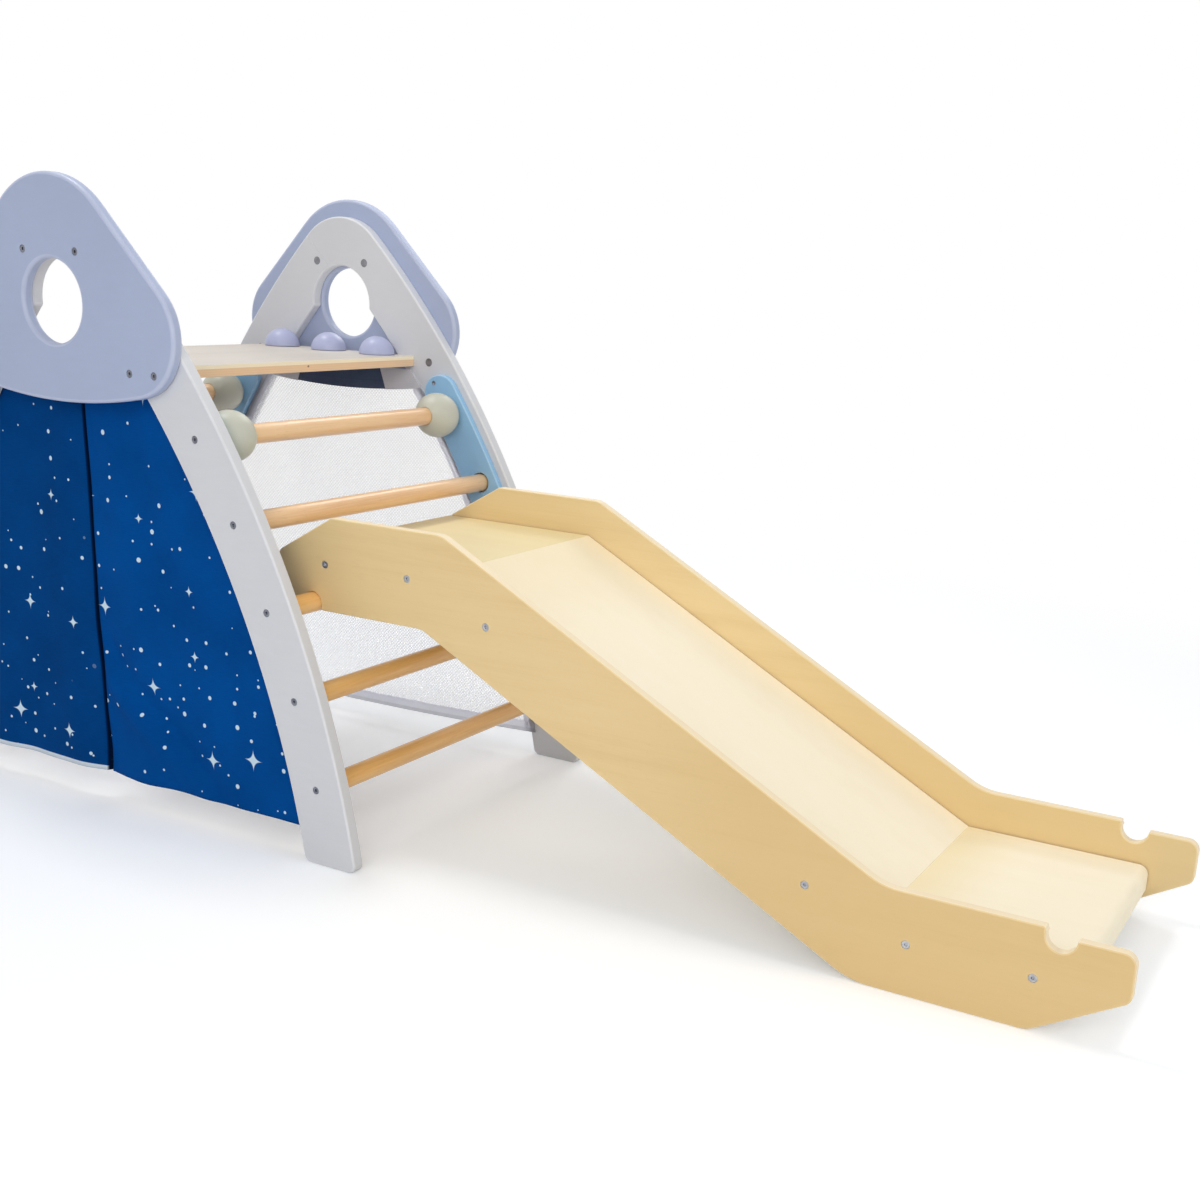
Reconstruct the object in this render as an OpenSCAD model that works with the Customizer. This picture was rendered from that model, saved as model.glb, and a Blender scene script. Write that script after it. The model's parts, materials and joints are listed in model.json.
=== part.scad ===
// Toddler climbing gym: two curved ladders that meet under a rounded nose board
// on each side, with a deck, a curtained den below it and a slide hooked on a rung.
// X runs along the slide, Y across the frame, Z up from the floor, in millimetres.

/* [Legs] */
// Width over the outer faces of the legs
frame_w = 620; // [560:5:700]
// Thickness of the leg boards
leg_t = 20; // [18:1:26]
// Width of the curved leg band
leg_w = 94; // [86:1:104]
// Radius of the legs' curved centre line
leg_r = 1570; // [1510:5:1640]
// Depth of the leg arc's centre below the floor
leg_drop = 255; // [235:5:275]
// Distance from the middle to the leg's centre line at the floor
stance = 483; // [465:1:505]
// Radius of the foot corners
foot_round = 12; // [6:1:18]
// Radius of the rounded peak where the legs meet
peak_r = 104; // [96:1:112]
// Distance of the leg seam from the start of the peak's curve
seam_back = 6; // [4:1:9]

/* [Nose boards] */
// Thickness of the nose boards
nose_t = 18; // [15:1:22]
// Height of the nose board above the peak of the legs
nose_over = 30; // [20:1:40]
// Height of the nose board at its middle
nose_h = 321; // [316:1:326]
// Radius of the nose's rounded tip
nose_top_r = 140; // [125:1:155]
// Radius of the nose's rounded side corners
nose_side_r = 88; // [84:1:92]
// Distance of the side corners' centres from the middle
nose_side_x = 151; // [145:1:160]
// Depth of the side corners' centres below the tip
nose_side_drop = 218; // [214:1:222]
// Radius of the round window
window_r = 60; // [50:1:64]
// Depth of the window's centre below the tip
window_drop = 178; // [172:1:186]
// Room between the window's rim and the legs behind it
window_clear = 4; // [2:0.5:6]

/* [Rungs] */
// Diameter of the rungs
rung_d = 30; // [25:1:34]
// Distance between rungs along the leg
rung_pitch = 132; // [120:1:138]
// Distance of the lowest rung from the floor along the leg
rung_first = 118; // [100:1:135]
// Depth of the rung sockets in the legs
rung_seat = 8; // [5:0.5:10]
// Radial room of a rung in its socket
socket_clear = 0.2; // [0.1:0.05:0.5]

/* [Rung plates and balls] */
// Width of the rung plates
plate_w = 68; // [60:1:70]
// Thickness of the rung plates
plate_t = 12; // [8:1:15]
// Length of a plate beyond its two rungs
plate_over = 72; // [64:1:80]
// Distance of a plate screw from the end of the plate
plate_screw_in = 11; // [9:1:14]
// Radial room of a rung in its plate
plate_clear = 2; // [0.5:0.5:3]
// Diameter of the balls on the top rungs
ball_d = 76; // [64:1:84]
// Running room of a ball on its rung and beside its plate
ball_clear = 0.3; // [0.2:0.05:0.6]

/* [Deck and knobs] */
// Length of the deck along the slide's direction
deck_l = 330; // [300:5:345]
// Thickness of the deck
deck_t = 18; // [15:1:24]
// Height of the deck's top above the lowest point of the nose boards
deck_up = 60; // [54:1:70]
// Distance between a deck bolt and the outer nose bolt beside it
nose_bolt_gap = 48; // [40:1:52]
// Distance of the upper nose bolts from the leg seam, along the leg
top_bolt_back = 14; // [12:1:22]
// Diameter of the knobs on the deck
knob_d = 62; // [50:1:66]
// Distance between knobs
knob_pitch = 110; // [95:1:116]
// Distance of the knobs' centres from the far edge of the deck
knob_in = 35; // [34:1:60]
// Running room under a knob and round its screw
knob_clear = 0.3; // [0.2:0.05:0.5]

/* [Slide] */
// Width of the sliding bed between the rails
bed_w = 400; // [340:5:430]
// Thickness of the bed panels
bed_t = 24; // [20:1:28]
// Thickness of the slide's side rails
rail_t = 15; // [12:1:20]
// Depth of the side rails
rail_depth = 140; // [125:1:150]
// Height of the rails above the bed
rail_up = 58; // [45:1:66]
// Depth of the hook rung's centre above the underside of the rails
hook_drop = 11; // [6:0.5:16]
// Room between the hook and its rung
hook_clear = 0.3; // [0.2:0.05:1]
// Length of the rails behind the hook rung
hook_nose = 65; // [50:1:72]
// Height of the rail's tip above the underside
hook_tip_h = 80; // [70:1:84]
// Distance of the rail's upper corner in front of the hook rung
shoulder_x = 38; // [30:1:60]
// Distance of the upper bend in front of the hook rung
bend_x = 234; // [210:1:270]
// Horizontal run of the sloping stretch
slope_run = 683; // [620:1:760]
// Length of the rails' flat top from the lower bend to the storage notch
foot_l = 225; // [190:1:260]
// Length of the rails beyond the storage notch
foot_tail = 89; // [70:1:110]
// Depth of the rail's end below the rail's top at the storage notch
tail_drop = 9; // [5:1:15]
// Width of the storage notch in the rails
store_w = 38; // [34:1:44]
// Depth of the storage notch from the top of the rails
store_depth = 29; // [25:1:34]
// Distance of the bed's end from the end of the rails
bed_short = 62; // [40:1:80]
// Distance of the bed's upper end from the rails' tips
bed_back = 4; // [2:1:10]
// Radius of the upper edge at the bed's end
bed_round = 14; // [6:1:16]
// Radius of the corner under the rail's tip
tip_round = 8; // [5:1:12]
// Radius of the corner above the rail's tip
brow_round = 16; // [10:1:22]
// Radius of the rail's upper shoulder
shoulder_round = 14; // [8:1:30]
// Radius of the upper bend along the top of the rails
bend_round = 40; // [20:1:60]
// Radius of the lower bend along the top of the rails
low_bend_round = 90; // [30:1:140]
// Radius of the upper bend along the underside of the rails
under_round = 30; // [15:1:50]
// Radius of the underside's bend at the floor
floor_round = 110; // [30:1:150]
// Distance of the underside's heel behind the storage notch
heel_back = 28.5; // [20:0.5:40]
// Radius of the heel
heel_round = 40; // [10:1:60]
// Height of the lower corner at the rail's end
chin_h = 70; // [60:1:80]
// Radius of the lower corner at the rail's end
chin_round = 14; // [8:1:20]
// Radius of the upper corner at the rail's end
tail_round = 16; // [10:1:20]
// Room beside the rung in the mouth of the hook
mouth_room = 1; // [0.5:0.25:2]
// Depth of the end of the mouth's straight sides below the rung's centre
mouth_drop = 4; // [3:0.5:5]
// Room beside a stored rung in the mouth of the storage notch
store_room = 0.5; // [0.25:0.25:1.5]
// Height of the storage notch's straight sides above the centre of its round
store_rise = 4; // [2:0.5:6]
// Thickness of the batten under the bed's end
batten_t = 13; // [10:1:18]
// Depth of the batten along the slide
batten_l = 30; // [24:1:45]
// Distance of the first bolt from the upper bend
bolt_top_far = 192; // [150:1:220]
// Distance of the second bolt from the upper bend
bolt_top_near = 42; // [30:1:80]
// Distance of the third bolt past the upper bend
bolt_slope_top = 106; // [40:1:160]
// Distance of the fourth bolt from the lower bend
bolt_slope_low = 99; // [40:1:160]
// Distance of the fifth bolt past the lower bend
bolt_foot = 53; // [30:1:90]
// Distance of the last bolt from the end of the bed
bolt_end = 55; // [40:1:90]

/* [Curtain and net] */
// Thickness of the cloth
cloth_t = 2; // [1.5:0.1:3]
// Thickness of the touch tape on the legs
tape_t = 1.5; // [1:0.1:2.5]
// Width of the touch tape along the legs' inner edges
tape_w = 11; // [9:0.5:12]
// Distance of the touch tape from the legs' inner edges
tape_inset = 1; // [0.5:0.25:2]
// Distance of the touch tape's upper end below the top of the cloth
tape_short = 4; // [2:1:10]
// Room between the cloth and the tape
tape_clear = 0.3; // [0.2:0.05:0.5]
// Height of the curtain's and net's lower edges above the floor
cloth_up = 55; // [40:1:75]
// Room between the top of the cloth and the deck
cloth_top_gap = 6; // [4:1:15]
// Width of the split between the curtain's flaps
split_w = 5; // [3:0.5:12]
// Depth of the curtain's folds
fold_depth = 6; // [5:1:15]
// Width of the net's hem
hem_w = 20; // [14:1:26]
// Depth of the plain band along the net's top
header_h = 30; // [24:1:40]
// Distance between the net's cords
net_pitch = 41; // [38:1:48]
// Width of the net's cords
net_cord = 6; // [4:0.5:8]

/* [Fasteners] */
// Diameter of the bolts
bolt_d = 6; // [5:0.5:7]
// Diameter of the bolt heads
bolt_head_d = 11; // [10:0.5:12]
// Height of the bolt heads
bolt_head_h = 4; // [3:0.5:5]
// Depth of the bolt heads below the surface
bolt_sunk = 0.5; // [0:0.1:1]
// Radial room round bolts, screws, nuts and inserts
bolt_clear = 0.15; // [0.1:0.05:0.4]
// Diameter of the threaded inserts and nuts
insert_d = 10; // [9:0.5:12]
// Wood left between a sleeve nut and the nose board
nut_skin = 6; // [4:0.5:8]
// Width of a sleeve nut's flange round its body
nut_rim = 2; // [1.5:0.25:3]
// Thickness of a sleeve nut's flange
nut_flange_t = 2; // [1.5:0.25:2.5]
// Thickness of a sleeve nut's closed end
nut_floor = 3; // [2.5:0.25:3.5]
// Distance of the nose bolts' ends from the legs' inner faces
bolt_back = 4; // [3.75:0.25:6]
// Distance of the rung bolts' ends from the inserts' inner ends
insert_rest = 3; // [2:0.5:6]
// Length of the bolts beyond their barrel nuts
bolt_past = 2; // [1:0.5:4]
// Length of the threaded inserts in the rungs
insert_l = 20; // [16:1:30]
// Distance of the barrel nuts from the edge of a panel
barrel_in = 34; // [28:1:45]
// Length of the barrel nuts
barrel_l = 13; // [11:1:14]
// Diameter of the wood screws
screw_d = 4; // [3:0.5:5]
// Diameter of the wood screws' heads
screw_head_d = 8; // [7:0.5:9]
// Height of the wood screws' heads
screw_head_h = 3; // [2:0.5:4]
// Depth of the wood screws in the piece that holds them
screw_grip = 12; // [9:1:14]

/* [Hidden] */
$fn = 96;
eps = 0.02;
SIDES = [-1, 1];
RUNGS = [1, 2, 3, 4, 5];
HOOK_RUNG = 3;

// Leg arc of the right-hand side, and its inner and outer edges
arc_x = stance - sqrt(leg_r * leg_r - leg_drop * leg_drop);
arc_z = -leg_drop;
arc_c = [arc_x, arc_z];
leg_ro = leg_r + leg_w / 2;
leg_ri = leg_r - leg_w / 2;
leg_in_y = frame_w / 2 - leg_t;

// Corner circles of a foot, tangent to the floor and to the leg's two edges
foot_out_a = asin((foot_round + leg_drop) / (leg_ro - foot_round));
foot_out_x = arc_x + (leg_ro - foot_round) * cos(foot_out_a);
foot_in_a = asin((foot_round + leg_drop) / (leg_ri + foot_round));
foot_in_x = arc_x + (leg_ri + foot_round) * cos(foot_in_a);

// Rounded peak, tangent to both outer edges
peak_z = arc_z + sqrt(pow(leg_ro - peak_r, 2) - arc_x * arc_x);
peak_a = atan2(peak_z - arc_z, -arc_x);
seam_a = peak_a - seam_back / leg_ro * 180 / PI;
cross_a = acos(-arc_x / leg_ri);

// Nose outline
nose_z = peak_z + peak_r + nose_over;
nose_top_c = [0, nose_z - nose_top_r];
nose_side_c = [nose_side_x, nose_z - nose_side_drop];
nose_low_z = nose_z - nose_h;
nose_rise = nose_side_c[1] - nose_low_z;
// The lower edge's curvature, and where it runs into the side corners: above zero
// the edge hangs in the middle, and below zero it is arched
nose_bend = 2 * (nose_rise - nose_side_r)
    / (pow(nose_side_x, 2) + pow(nose_rise, 2) - pow(nose_side_r, 2));
function nose_low(x) = nose_low_z + nose_bend * x * x / (1 + sqrt(1 - pow(nose_bend * x, 2)));
nose_meet_x = nose_side_x / (1 - nose_side_r * nose_bend);
nose_gap = nose_side_c - nose_top_c;
nose_slope_a = atan2(nose_gap[1], nose_gap[0]) + acos((nose_top_r - nose_side_r) / norm(nose_gap));
nose_side_a = atan2(nose_low(nose_meet_x) - nose_side_c[1], nose_meet_x - nose_side_x);
window_z = nose_z - window_drop;

// Rungs, counted from the top, on the leg's centre line
floor_a = asin(leg_drop / leg_r);
function along(s) = s / leg_r * 180 / PI;
function rung_a(i) = floor_a + along(rung_first + (5 - i) * rung_pitch);
function on_leg(r, a) = arc_c + r * [cos(a), sin(a)];
function rung_at(i) = on_leg(leg_r, rung_a(i));
rung_half = leg_in_y + rung_seat;
socket_d = rung_d + 2 * socket_clear;
plate_a0 = rung_a(2) - along(plate_over - plate_w / 2);
plate_a1 = rung_a(1) + along(plate_over - plate_w / 2);
plate_in_y = leg_in_y - plate_t;
plate_screws_a = [rung_a(2) - along(plate_over - plate_screw_in),
    rung_a(1) + along(plate_over - plate_screw_in)];

// Deck, and the bolts that hold it and the nose boards
deck_z = nose_low_z + deck_up;
deck_mid_z = deck_z - deck_t / 2;
// The deck bolts lie midway between the legs' inner edges and the deck's ends
leg_edge_x = arc_x + sqrt(pow(leg_ri, 2) - pow(deck_mid_z - arc_z, 2));
deck_bolt_x = (leg_edge_x + deck_l / 2) / 2;
knob_y = leg_in_y - knob_in;
knob_h = knob_d / 2;
top_bolt = on_leg(leg_r, seam_a - along(top_bolt_back));
nose_bolts_at = [top_bolt, [deck_bolt_x + nose_bolt_gap, deck_mid_z]];
bolt_hole_d = bolt_d + 2 * bolt_clear;
head_hole_d = bolt_head_d + 4 * bolt_clear;
head_depth = bolt_head_h + bolt_sunk;
nut_l = leg_t - nut_skin;
nut_flange_d = insert_d + 2 * nut_rim;
barrel_reach = barrel_in + insert_d / 2 + bolt_past;

// Slide: bed and rails bend twice, between the hook rung and the floor
hook = rung_at(HOOK_RUNG);
under_z = hook[1] - hook_drop;
slope = atan2(under_z, slope_run);
mitre = tan(slope / 2);
tip_x = hook[0] - hook_nose;
bend1_x = hook[0] + bend_x;
bend2_x = bend1_x + slope_run;
store_x = bend2_x + foot_l;
end_x = store_x + foot_tail;
bed_half = bed_w / 2;
rail_half = bed_half + rail_t;
bed_end_x = end_x - bed_short;
bed_start_x = tip_x + bed_back;
function rail_line(down) = [[bend1_x - down * mitre, under_z + rail_depth - down],
    [bend2_x - down * mitre, rail_depth - down]];
bed_mid = rail_line(rail_up + bed_t / 2);
slope_l = slope_run / cos(slope);

// Slide bolts: centre and tilt of the panel that each one holds
downhill = [cos(slope), -sin(slope)];
slide_bolts_at = [
    [bed_mid[0] - [bolt_top_far, 0], 0],
    [bed_mid[0] - [bolt_top_near, 0], 0],
    [bed_mid[0] + bolt_slope_top * downhill, slope],
    [bed_mid[1] - bolt_slope_low * downhill, slope],
    [bed_mid[1] + [bolt_foot, 0], 0],
    [[bed_end_x - bolt_end, bed_mid[1][1]], 0]];

// Cloth
cloth_edge_r = leg_ri + tape_w;
cloth_y = leg_in_y - tape_t - tape_clear;
cloth_top_z = deck_z - deck_t - cloth_top_gap;
function cloth_x(z, r) = arc_x + sqrt(r * r - pow(z - arc_z, 2));
function cloth_a(z, r) = asin((z - arc_z) / r);
FLAP_U = 18;
FLAP_V = 26;

// The whole part is centred over its footprint
foot_x = foot_out_x + foot_round;
shift_x = (foot_x - end_x) / 2;

function arc(c, r, a0, a1, n) = [for (i = [0 : n])
    let (a = a0 + (a1 - a0) * i / n) c + r * [cos(a), sin(a)]];
function flip(pts) = [for (i = [len(pts) - 1 : -1 : 0]) [-pts[i][0], pts[i][1]]];
function unit(v) = v / norm(v);
function corner(p, q, s, r, n) = let (
        a = unit([p[0] - q[0], p[1] - q[1]]),
        b = unit([s[0] - q[0], s[1] - q[1]]),
        half = acos(a * b) / 2,
        c = [q[0], q[1]] + unit(a + b) * r / sin(half),
        u = [q[0], q[1]] + a * r / tan(half) - c,
        v = [q[0], q[1]] + b * r / tan(half) - c,
        a0 = atan2(u[1], u[0]),
        turn = (atan2(v[1], v[0]) - a0 + 540) % 360 - 180
    ) [for (i = [0 : n]) c + r * [cos(a0 + turn * i / n), sin(a0 + turn * i / n)]];
// Outline through corners given as [x, y, radius]
function rounded(pts) = let (n = len(pts)) [for (i = [0 : n - 1])
    each pts[i][2] > 0
        ? corner(pts[(i + n - 1) % n], pts[i], pts[(i + 1) % n], pts[i][2], 6)
        : [[pts[i][0], pts[i][1]]]];

// Puts the part over its footprint's centre
module place() {
    translate([shift_x, 0, 0]) children();
}

// Upright slab of a side outline, from y0 to y0 + t
module slab(y0, t) {
    translate([0, y0 + t, 0]) rotate([90, 0, 0]) linear_extrude(t) children();
}

// Mirrors onto the left-hand side where sx is -1 and the near side where sy is -1
module on_side(sx, sy) {
    mirror([sx < 0 ? 1 : 0, 0, 0]) mirror([0, sy < 0 ? 1 : 0, 0]) children();
}

// Round bar along Y between y0 and y1
module y_bar(at, y0, y1, d) {
    translate([at[0], y0, at[1]]) rotate([-90, 0, 0]) cylinder(d = d, h = y1 - y0);
}

// Bolt along +Z with a hexagon socket in its head, head outwards at z = 0
module bolt(l, d = bolt_d, head_d = bolt_head_d, head_h = bolt_head_h) {
    difference() {
        union() {
            cylinder(d = head_d, h = head_h);
            translate([0, 0, head_h / 2]) cylinder(d = d, h = l - head_h / 2);
        }
        translate([0, 0, -eps]) cylinder(d = d * 0.8, h = head_h * 0.6, $fn = 6);
    }
}

// Places something made along +Z so that it enters the far side's face at y, inwards
module into_face(at, y) {
    translate([at[0], y, at[1]]) rotate([90, 0, 0]) children();
}

// Room for a bolt's head and shank, along +Z from a face at z = 0
module bolt_room(l) {
    translate([0, 0, -eps]) cylinder(d = head_hole_d, h = head_depth + eps);
    translate([0, 0, head_depth - eps]) cylinder(d = bolt_hole_d, h = l);
}

function leg_foot() = concat(
    arc([foot_in_x, foot_round], foot_round, 180 + foot_in_a, 270, 6),
    arc([foot_out_x, foot_round], foot_round, -90, foot_out_a, 6));

// Leg that carries the rounded peak
module peak_leg_outline() {
    polygon(concat(
        leg_foot(),
        arc(arc_c, leg_ro, foot_out_a + 1, peak_a, 30),
        arc([0, peak_z], peak_r, peak_a + 5, 180 - peak_a - 5, 16),
        flip(arc(arc_c, leg_ro, seam_a, peak_a, 1)),
        flip(arc(arc_c, leg_ri, cross_a, seam_a, 1)),
        arc(arc_c, leg_ri, cross_a - 0.5, foot_in_a + 1, 30)));
}

// Leg that ends square against the seam
module plain_leg_outline() {
    polygon(concat(
        leg_foot(),
        arc(arc_c, leg_ro, foot_out_a + 1, seam_a, 30),
        arc(arc_c, leg_ri, seam_a, foot_in_a + 1, 30)));
}

module leg_holes() {
    y_bar([0, window_z], leg_in_y - 1, frame_w / 2 + 1, 2 * (window_r + window_clear));
    for (i = RUNGS) {
        y_bar(rung_at(i), leg_in_y - 1, leg_in_y + rung_seat, socket_d);
        into_face(rung_at(i), frame_w / 2) bolt_room(leg_t);
    }
    for (p = nose_bolts_at) {
        y_bar(p, leg_in_y + nut_flange_t - eps, leg_in_y + nut_l, insert_d + 2 * bolt_clear);
        y_bar(p, leg_in_y - eps, leg_in_y + nut_flange_t, nut_flange_d + 2 * bolt_clear);
        y_bar(p, leg_in_y + nut_l - eps, frame_w / 2 + eps, bolt_hole_d);
    }
    y_bar([deck_bolt_x, deck_mid_z], leg_in_y - 1, frame_w / 2 + 1, bolt_hole_d);
    for (a = plate_screws_a)
        y_bar(on_leg(leg_r, a), leg_in_y - 1, leg_in_y + screw_grip + 1, screw_d + 2 * bolt_clear);
}

module leg(sx, sy) {
    color([0.80, 0.81, 0.83]) place() on_side(sx, sy) difference() {
        slab(leg_in_y, leg_t)
            if (sx > 0) peak_leg_outline();
            else plain_leg_outline();
        leg_holes();
    }
}

module nose_outline() {
    side = arc(nose_side_c, nose_side_r, nose_side_a, nose_slope_a, 20);
    top = arc(nose_top_c, nose_top_r, nose_slope_a, 180 - nose_slope_a, 24);
    low = [for (i = [-11 : 11]) let (x = nose_meet_x * i / 12) [x, nose_low(x)]];
    polygon(concat(side, top, flip(side), low));
}

module nose(sy) {
    color([0.66, 0.70, 0.82]) place() on_side(1, sy) difference() {
        slab(frame_w / 2, nose_t) nose_outline();
        y_bar([0, window_z], frame_w / 2 - 1, frame_w / 2 + nose_t + 1, 2 * window_r);
        for (sx = SIDES, p = concat(nose_bolts_at, [[deck_bolt_x, deck_mid_z]]))
            into_face([sx * p[0], p[1]], frame_w / 2 + nose_t) bolt_room(nose_t);
    }
}

module rung(sx, i) {
    color([0.88, 0.67, 0.45]) place() on_side(sx, 1) difference() {
        y_bar(rung_at(i), -rung_half, rung_half, rung_d);
        for (sy = SIDES)
            on_side(1, sy) y_bar(rung_at(i), rung_half - insert_l, rung_half + 1, insert_d + 2 * bolt_clear);
    }
}

// Curved plate with round ends along the leg's centre line
module plate_outline() {
    polygon(concat(
        arc(arc_c, leg_r + plate_w / 2, plate_a0, plate_a1, 10),
        arc(on_leg(leg_r, plate_a1), plate_w / 2, plate_a1 + 12, plate_a1 + 168, 13),
        arc(arc_c, leg_r - plate_w / 2, plate_a1, plate_a0, 10),
        arc(on_leg(leg_r, plate_a0), plate_w / 2, plate_a0 + 192, plate_a0 + 348, 13)));
}

module plate(sx, sy) {
    color([0.49, 0.65, 0.77]) place() on_side(sx, sy) difference() {
        slab(plate_in_y, plate_t) plate_outline();
        for (i = [1, 2])
            y_bar(rung_at(i), plate_in_y - 1, leg_in_y + 1, rung_d + 2 * plate_clear);
        for (a = plate_screws_a) {
            y_bar(on_leg(leg_r, a), plate_in_y - 1, leg_in_y + 1, screw_d + 2 * bolt_clear);
            y_bar(on_leg(leg_r, a), plate_in_y - 1, plate_in_y + screw_head_h, screw_head_d + 2 * bolt_clear);
        }
    }
}

// Ball that turns on the top rung, its rim against the plate
module ball(sx, sy) {
    p = rung_at(1);
    bore_d = rung_d + 2 * ball_clear;
    half_l = sqrt(ball_d * ball_d - bore_d * bore_d) / 2;
    color([0.74, 0.75, 0.68]) place() on_side(sx, sy)
        translate([p[0], plate_in_y - ball_clear - half_l, p[1]]) rotate([90, 0, 0]) difference() {
            sphere(d = ball_d);
            translate([0, 0, -ball_d]) cylinder(d = bore_d, h = 2 * ball_d);
        }
}

module deck() {
    color([0.87, 0.84, 0.80]) place() difference() {
        translate([-deck_l / 2, -leg_in_y, deck_z - deck_t]) cube([deck_l, 2 * leg_in_y, deck_t]);
        for (sx = SIDES, sy = SIDES) on_side(sx, sy) {
            y_bar([deck_bolt_x, deck_mid_z], leg_in_y - barrel_reach - bolt_past, leg_in_y + 1, bolt_hole_d);
            translate([deck_bolt_x, leg_in_y - barrel_in, deck_z - deck_t - 1])
                cylinder(d = insert_d + 2 * bolt_clear, h = 1 + deck_t / 2 + barrel_l / 2);
        }
        for (k = [-1, 0, 1])
            translate([k * knob_pitch, knob_y, deck_z - screw_grip - 1])
                cylinder(d = screw_d + 2 * bolt_clear, h = screw_grip + 2);
    }
}

// Half-round knob that turns on its screw
module knob(k) {
    color([0.73, 0.73, 0.86]) place() translate([k * knob_pitch, knob_y, deck_z + knob_clear]) difference() {
        sphere(d = knob_d);
        translate([-knob_d, -knob_d, -2 * knob_d]) cube(2 * knob_d);
        translate([0, 0, -1]) cylinder(d = screw_d + 2 * knob_clear, h = knob_h + 2);
        translate([0, 0, knob_h - screw_head_h - 2 * knob_clear])
            cylinder(d = screw_head_d + 2 * knob_clear, h = knob_h);
    }
}

module knob_screws() {
    top_z = deck_z + knob_h;
    color([0.55, 0.55, 0.58]) place() for (k = [-1, 0, 1])
        translate([k * knob_pitch, knob_y, top_z]) rotate([180, 0, 0])
            bolt(knob_h + screw_grip, screw_d, screw_head_d, screw_head_h);
}

module nose_bolts() {
    color([0.25, 0.25, 0.28]) place() for (sx = SIDES, sy = SIDES, p = nose_bolts_at)
        on_side(sx, sy) into_face(p, frame_w / 2 + nose_t - bolt_sunk)
            bolt(nose_t + leg_t - bolt_sunk - bolt_back);
}

module nose_nuts() {
    color([0.70, 0.71, 0.73]) place() for (sx = SIDES, sy = SIDES, p = nose_bolts_at)
        on_side(sx, sy) difference() {
            union() {
                y_bar(p, leg_in_y, leg_in_y + nut_flange_t, nut_flange_d);
                y_bar(p, leg_in_y + nut_flange_t / 2, leg_in_y + nut_l, insert_d);
            }
            y_bar(p, leg_in_y + nut_floor, leg_in_y + nut_l + 1, bolt_hole_d);
        }
}

module deck_bolts() {
    color([0.25, 0.25, 0.28]) place() for (sx = SIDES, sy = SIDES)
        on_side(sx, sy) into_face([deck_bolt_x, deck_mid_z], frame_w / 2 + nose_t - bolt_sunk)
            bolt(nose_t + leg_t + barrel_reach);
}

// Barrel nut across the bolt's way, drilled for the bolt
module barrel_nut() {
    difference() {
        translate([0, 0, -barrel_l / 2]) cylinder(d = insert_d, h = barrel_l);
        rotate([90, 0, 0]) translate([0, 0, -insert_d]) cylinder(d = bolt_hole_d, h = 2 * insert_d);
    }
}

module deck_barrel_nuts() {
    color([0.70, 0.71, 0.73]) place() for (sx = SIDES, sy = SIDES)
        on_side(sx, sy) translate([deck_bolt_x, leg_in_y - barrel_in, deck_mid_z]) barrel_nut();
}

module rung_bolts() {
    color([0.25, 0.25, 0.28]) place() for (sx = SIDES, sy = SIDES, i = RUNGS)
        on_side(sx, sy) into_face(rung_at(i), frame_w / 2 - bolt_sunk)
            bolt(leg_t - bolt_sunk - rung_seat + insert_l - insert_rest);
}

module rung_inserts() {
    color([0.76, 0.66, 0.40]) place() for (sx = SIDES, sy = SIDES, i = RUNGS)
        on_side(sx, sy) difference() {
            y_bar(rung_at(i), rung_half - insert_l, rung_half, insert_d);
            y_bar(rung_at(i), rung_half - insert_l - 1, rung_half + 1, bolt_hole_d);
        }
}

module plate_screws() {
    color([0.62, 0.63, 0.66]) place() for (sx = SIDES, sy = SIDES, a = plate_screws_a)
        on_side(sx, sy) translate([on_leg(leg_r, a)[0], plate_in_y, on_leg(leg_r, a)[1]]) rotate([-90, 0, 0])
            bolt(plate_t + screw_grip, screw_d, screw_head_d, screw_head_h);
}

// Height of a fold above the flat cloth: u from the split to the leg, v from hem to top
function fold(u, v, turn) = let (free = max(0, 1 - u / 0.85))
    fold_depth * free * (1 - 0.75 * v) * cos(turn + 800 * u - 40 * v);
function flap_point(u, v, lift, turn) = let (
        z = cloth_up + v * (cloth_top_z - cloth_up),
        x = split_w / 2 + u * (cloth_x(z, cloth_edge_r) - split_w / 2)
    ) [x, cloth_y - cloth_t + lift - fold(u, v, turn), z];

// One flap of the curtain, hung along the leg's inner edge
module flap(sx, turn) {
    nu = FLAP_U + 1;
    nv = FLAP_V + 1;
    skin = nu * nv;
    pts = [for (side = [0, 1], j = [0 : FLAP_V], i = [0 : FLAP_U])
        flap_point(i / FLAP_U, j / FLAP_V, side * cloth_t, turn)];
    rim = concat([for (i = [0 : FLAP_U - 1]) i], [for (j = [0 : FLAP_V - 1]) j * nu + FLAP_U],
        [for (i = [FLAP_U : -1 : 1]) FLAP_V * nu + i], [for (j = [FLAP_V : -1 : 1]) j * nu]);
    inner = [for (j = [0 : FLAP_V - 1], i = [0 : FLAP_U - 1])
        let (a = j * nu + i) each [[a + nu + 1, a + nu, a], [a + 1, a + nu + 1, a]]];
    outer = [for (f = inner) [f[2] + skin, f[1] + skin, f[0] + skin]];
    edge = [for (k = [0 : len(rim) - 1]) let (a = rim[k], b = rim[(k + 1) % len(rim)])
        each [[b + skin, b, a], [a + skin, b + skin, a]]];
    color([0.05, 0.24, 0.50]) place() on_side(sx, -1) polyhedron(pts, concat(inner, outer, edge));
}

// Band of tape along a leg's inner edge
module tape(sx, sy) {
    z1 = cloth_top_z - tape_short;
    r0 = leg_ri + tape_inset;
    on_side(sx, sy) slab(leg_in_y - tape_t, tape_t) polygon(concat(
        arc(arc_c, leg_ri + tape_w, cloth_a(cloth_up, leg_ri + tape_w), cloth_a(z1, leg_ri + tape_w), 24),
        arc(arc_c, r0, cloth_a(z1, r0), cloth_a(cloth_up, r0), 24)));
}

module curtain_tapes() {
    color([0.15, 0.20, 0.32]) place() for (sx = SIDES) tape(sx, -1);
}

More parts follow.
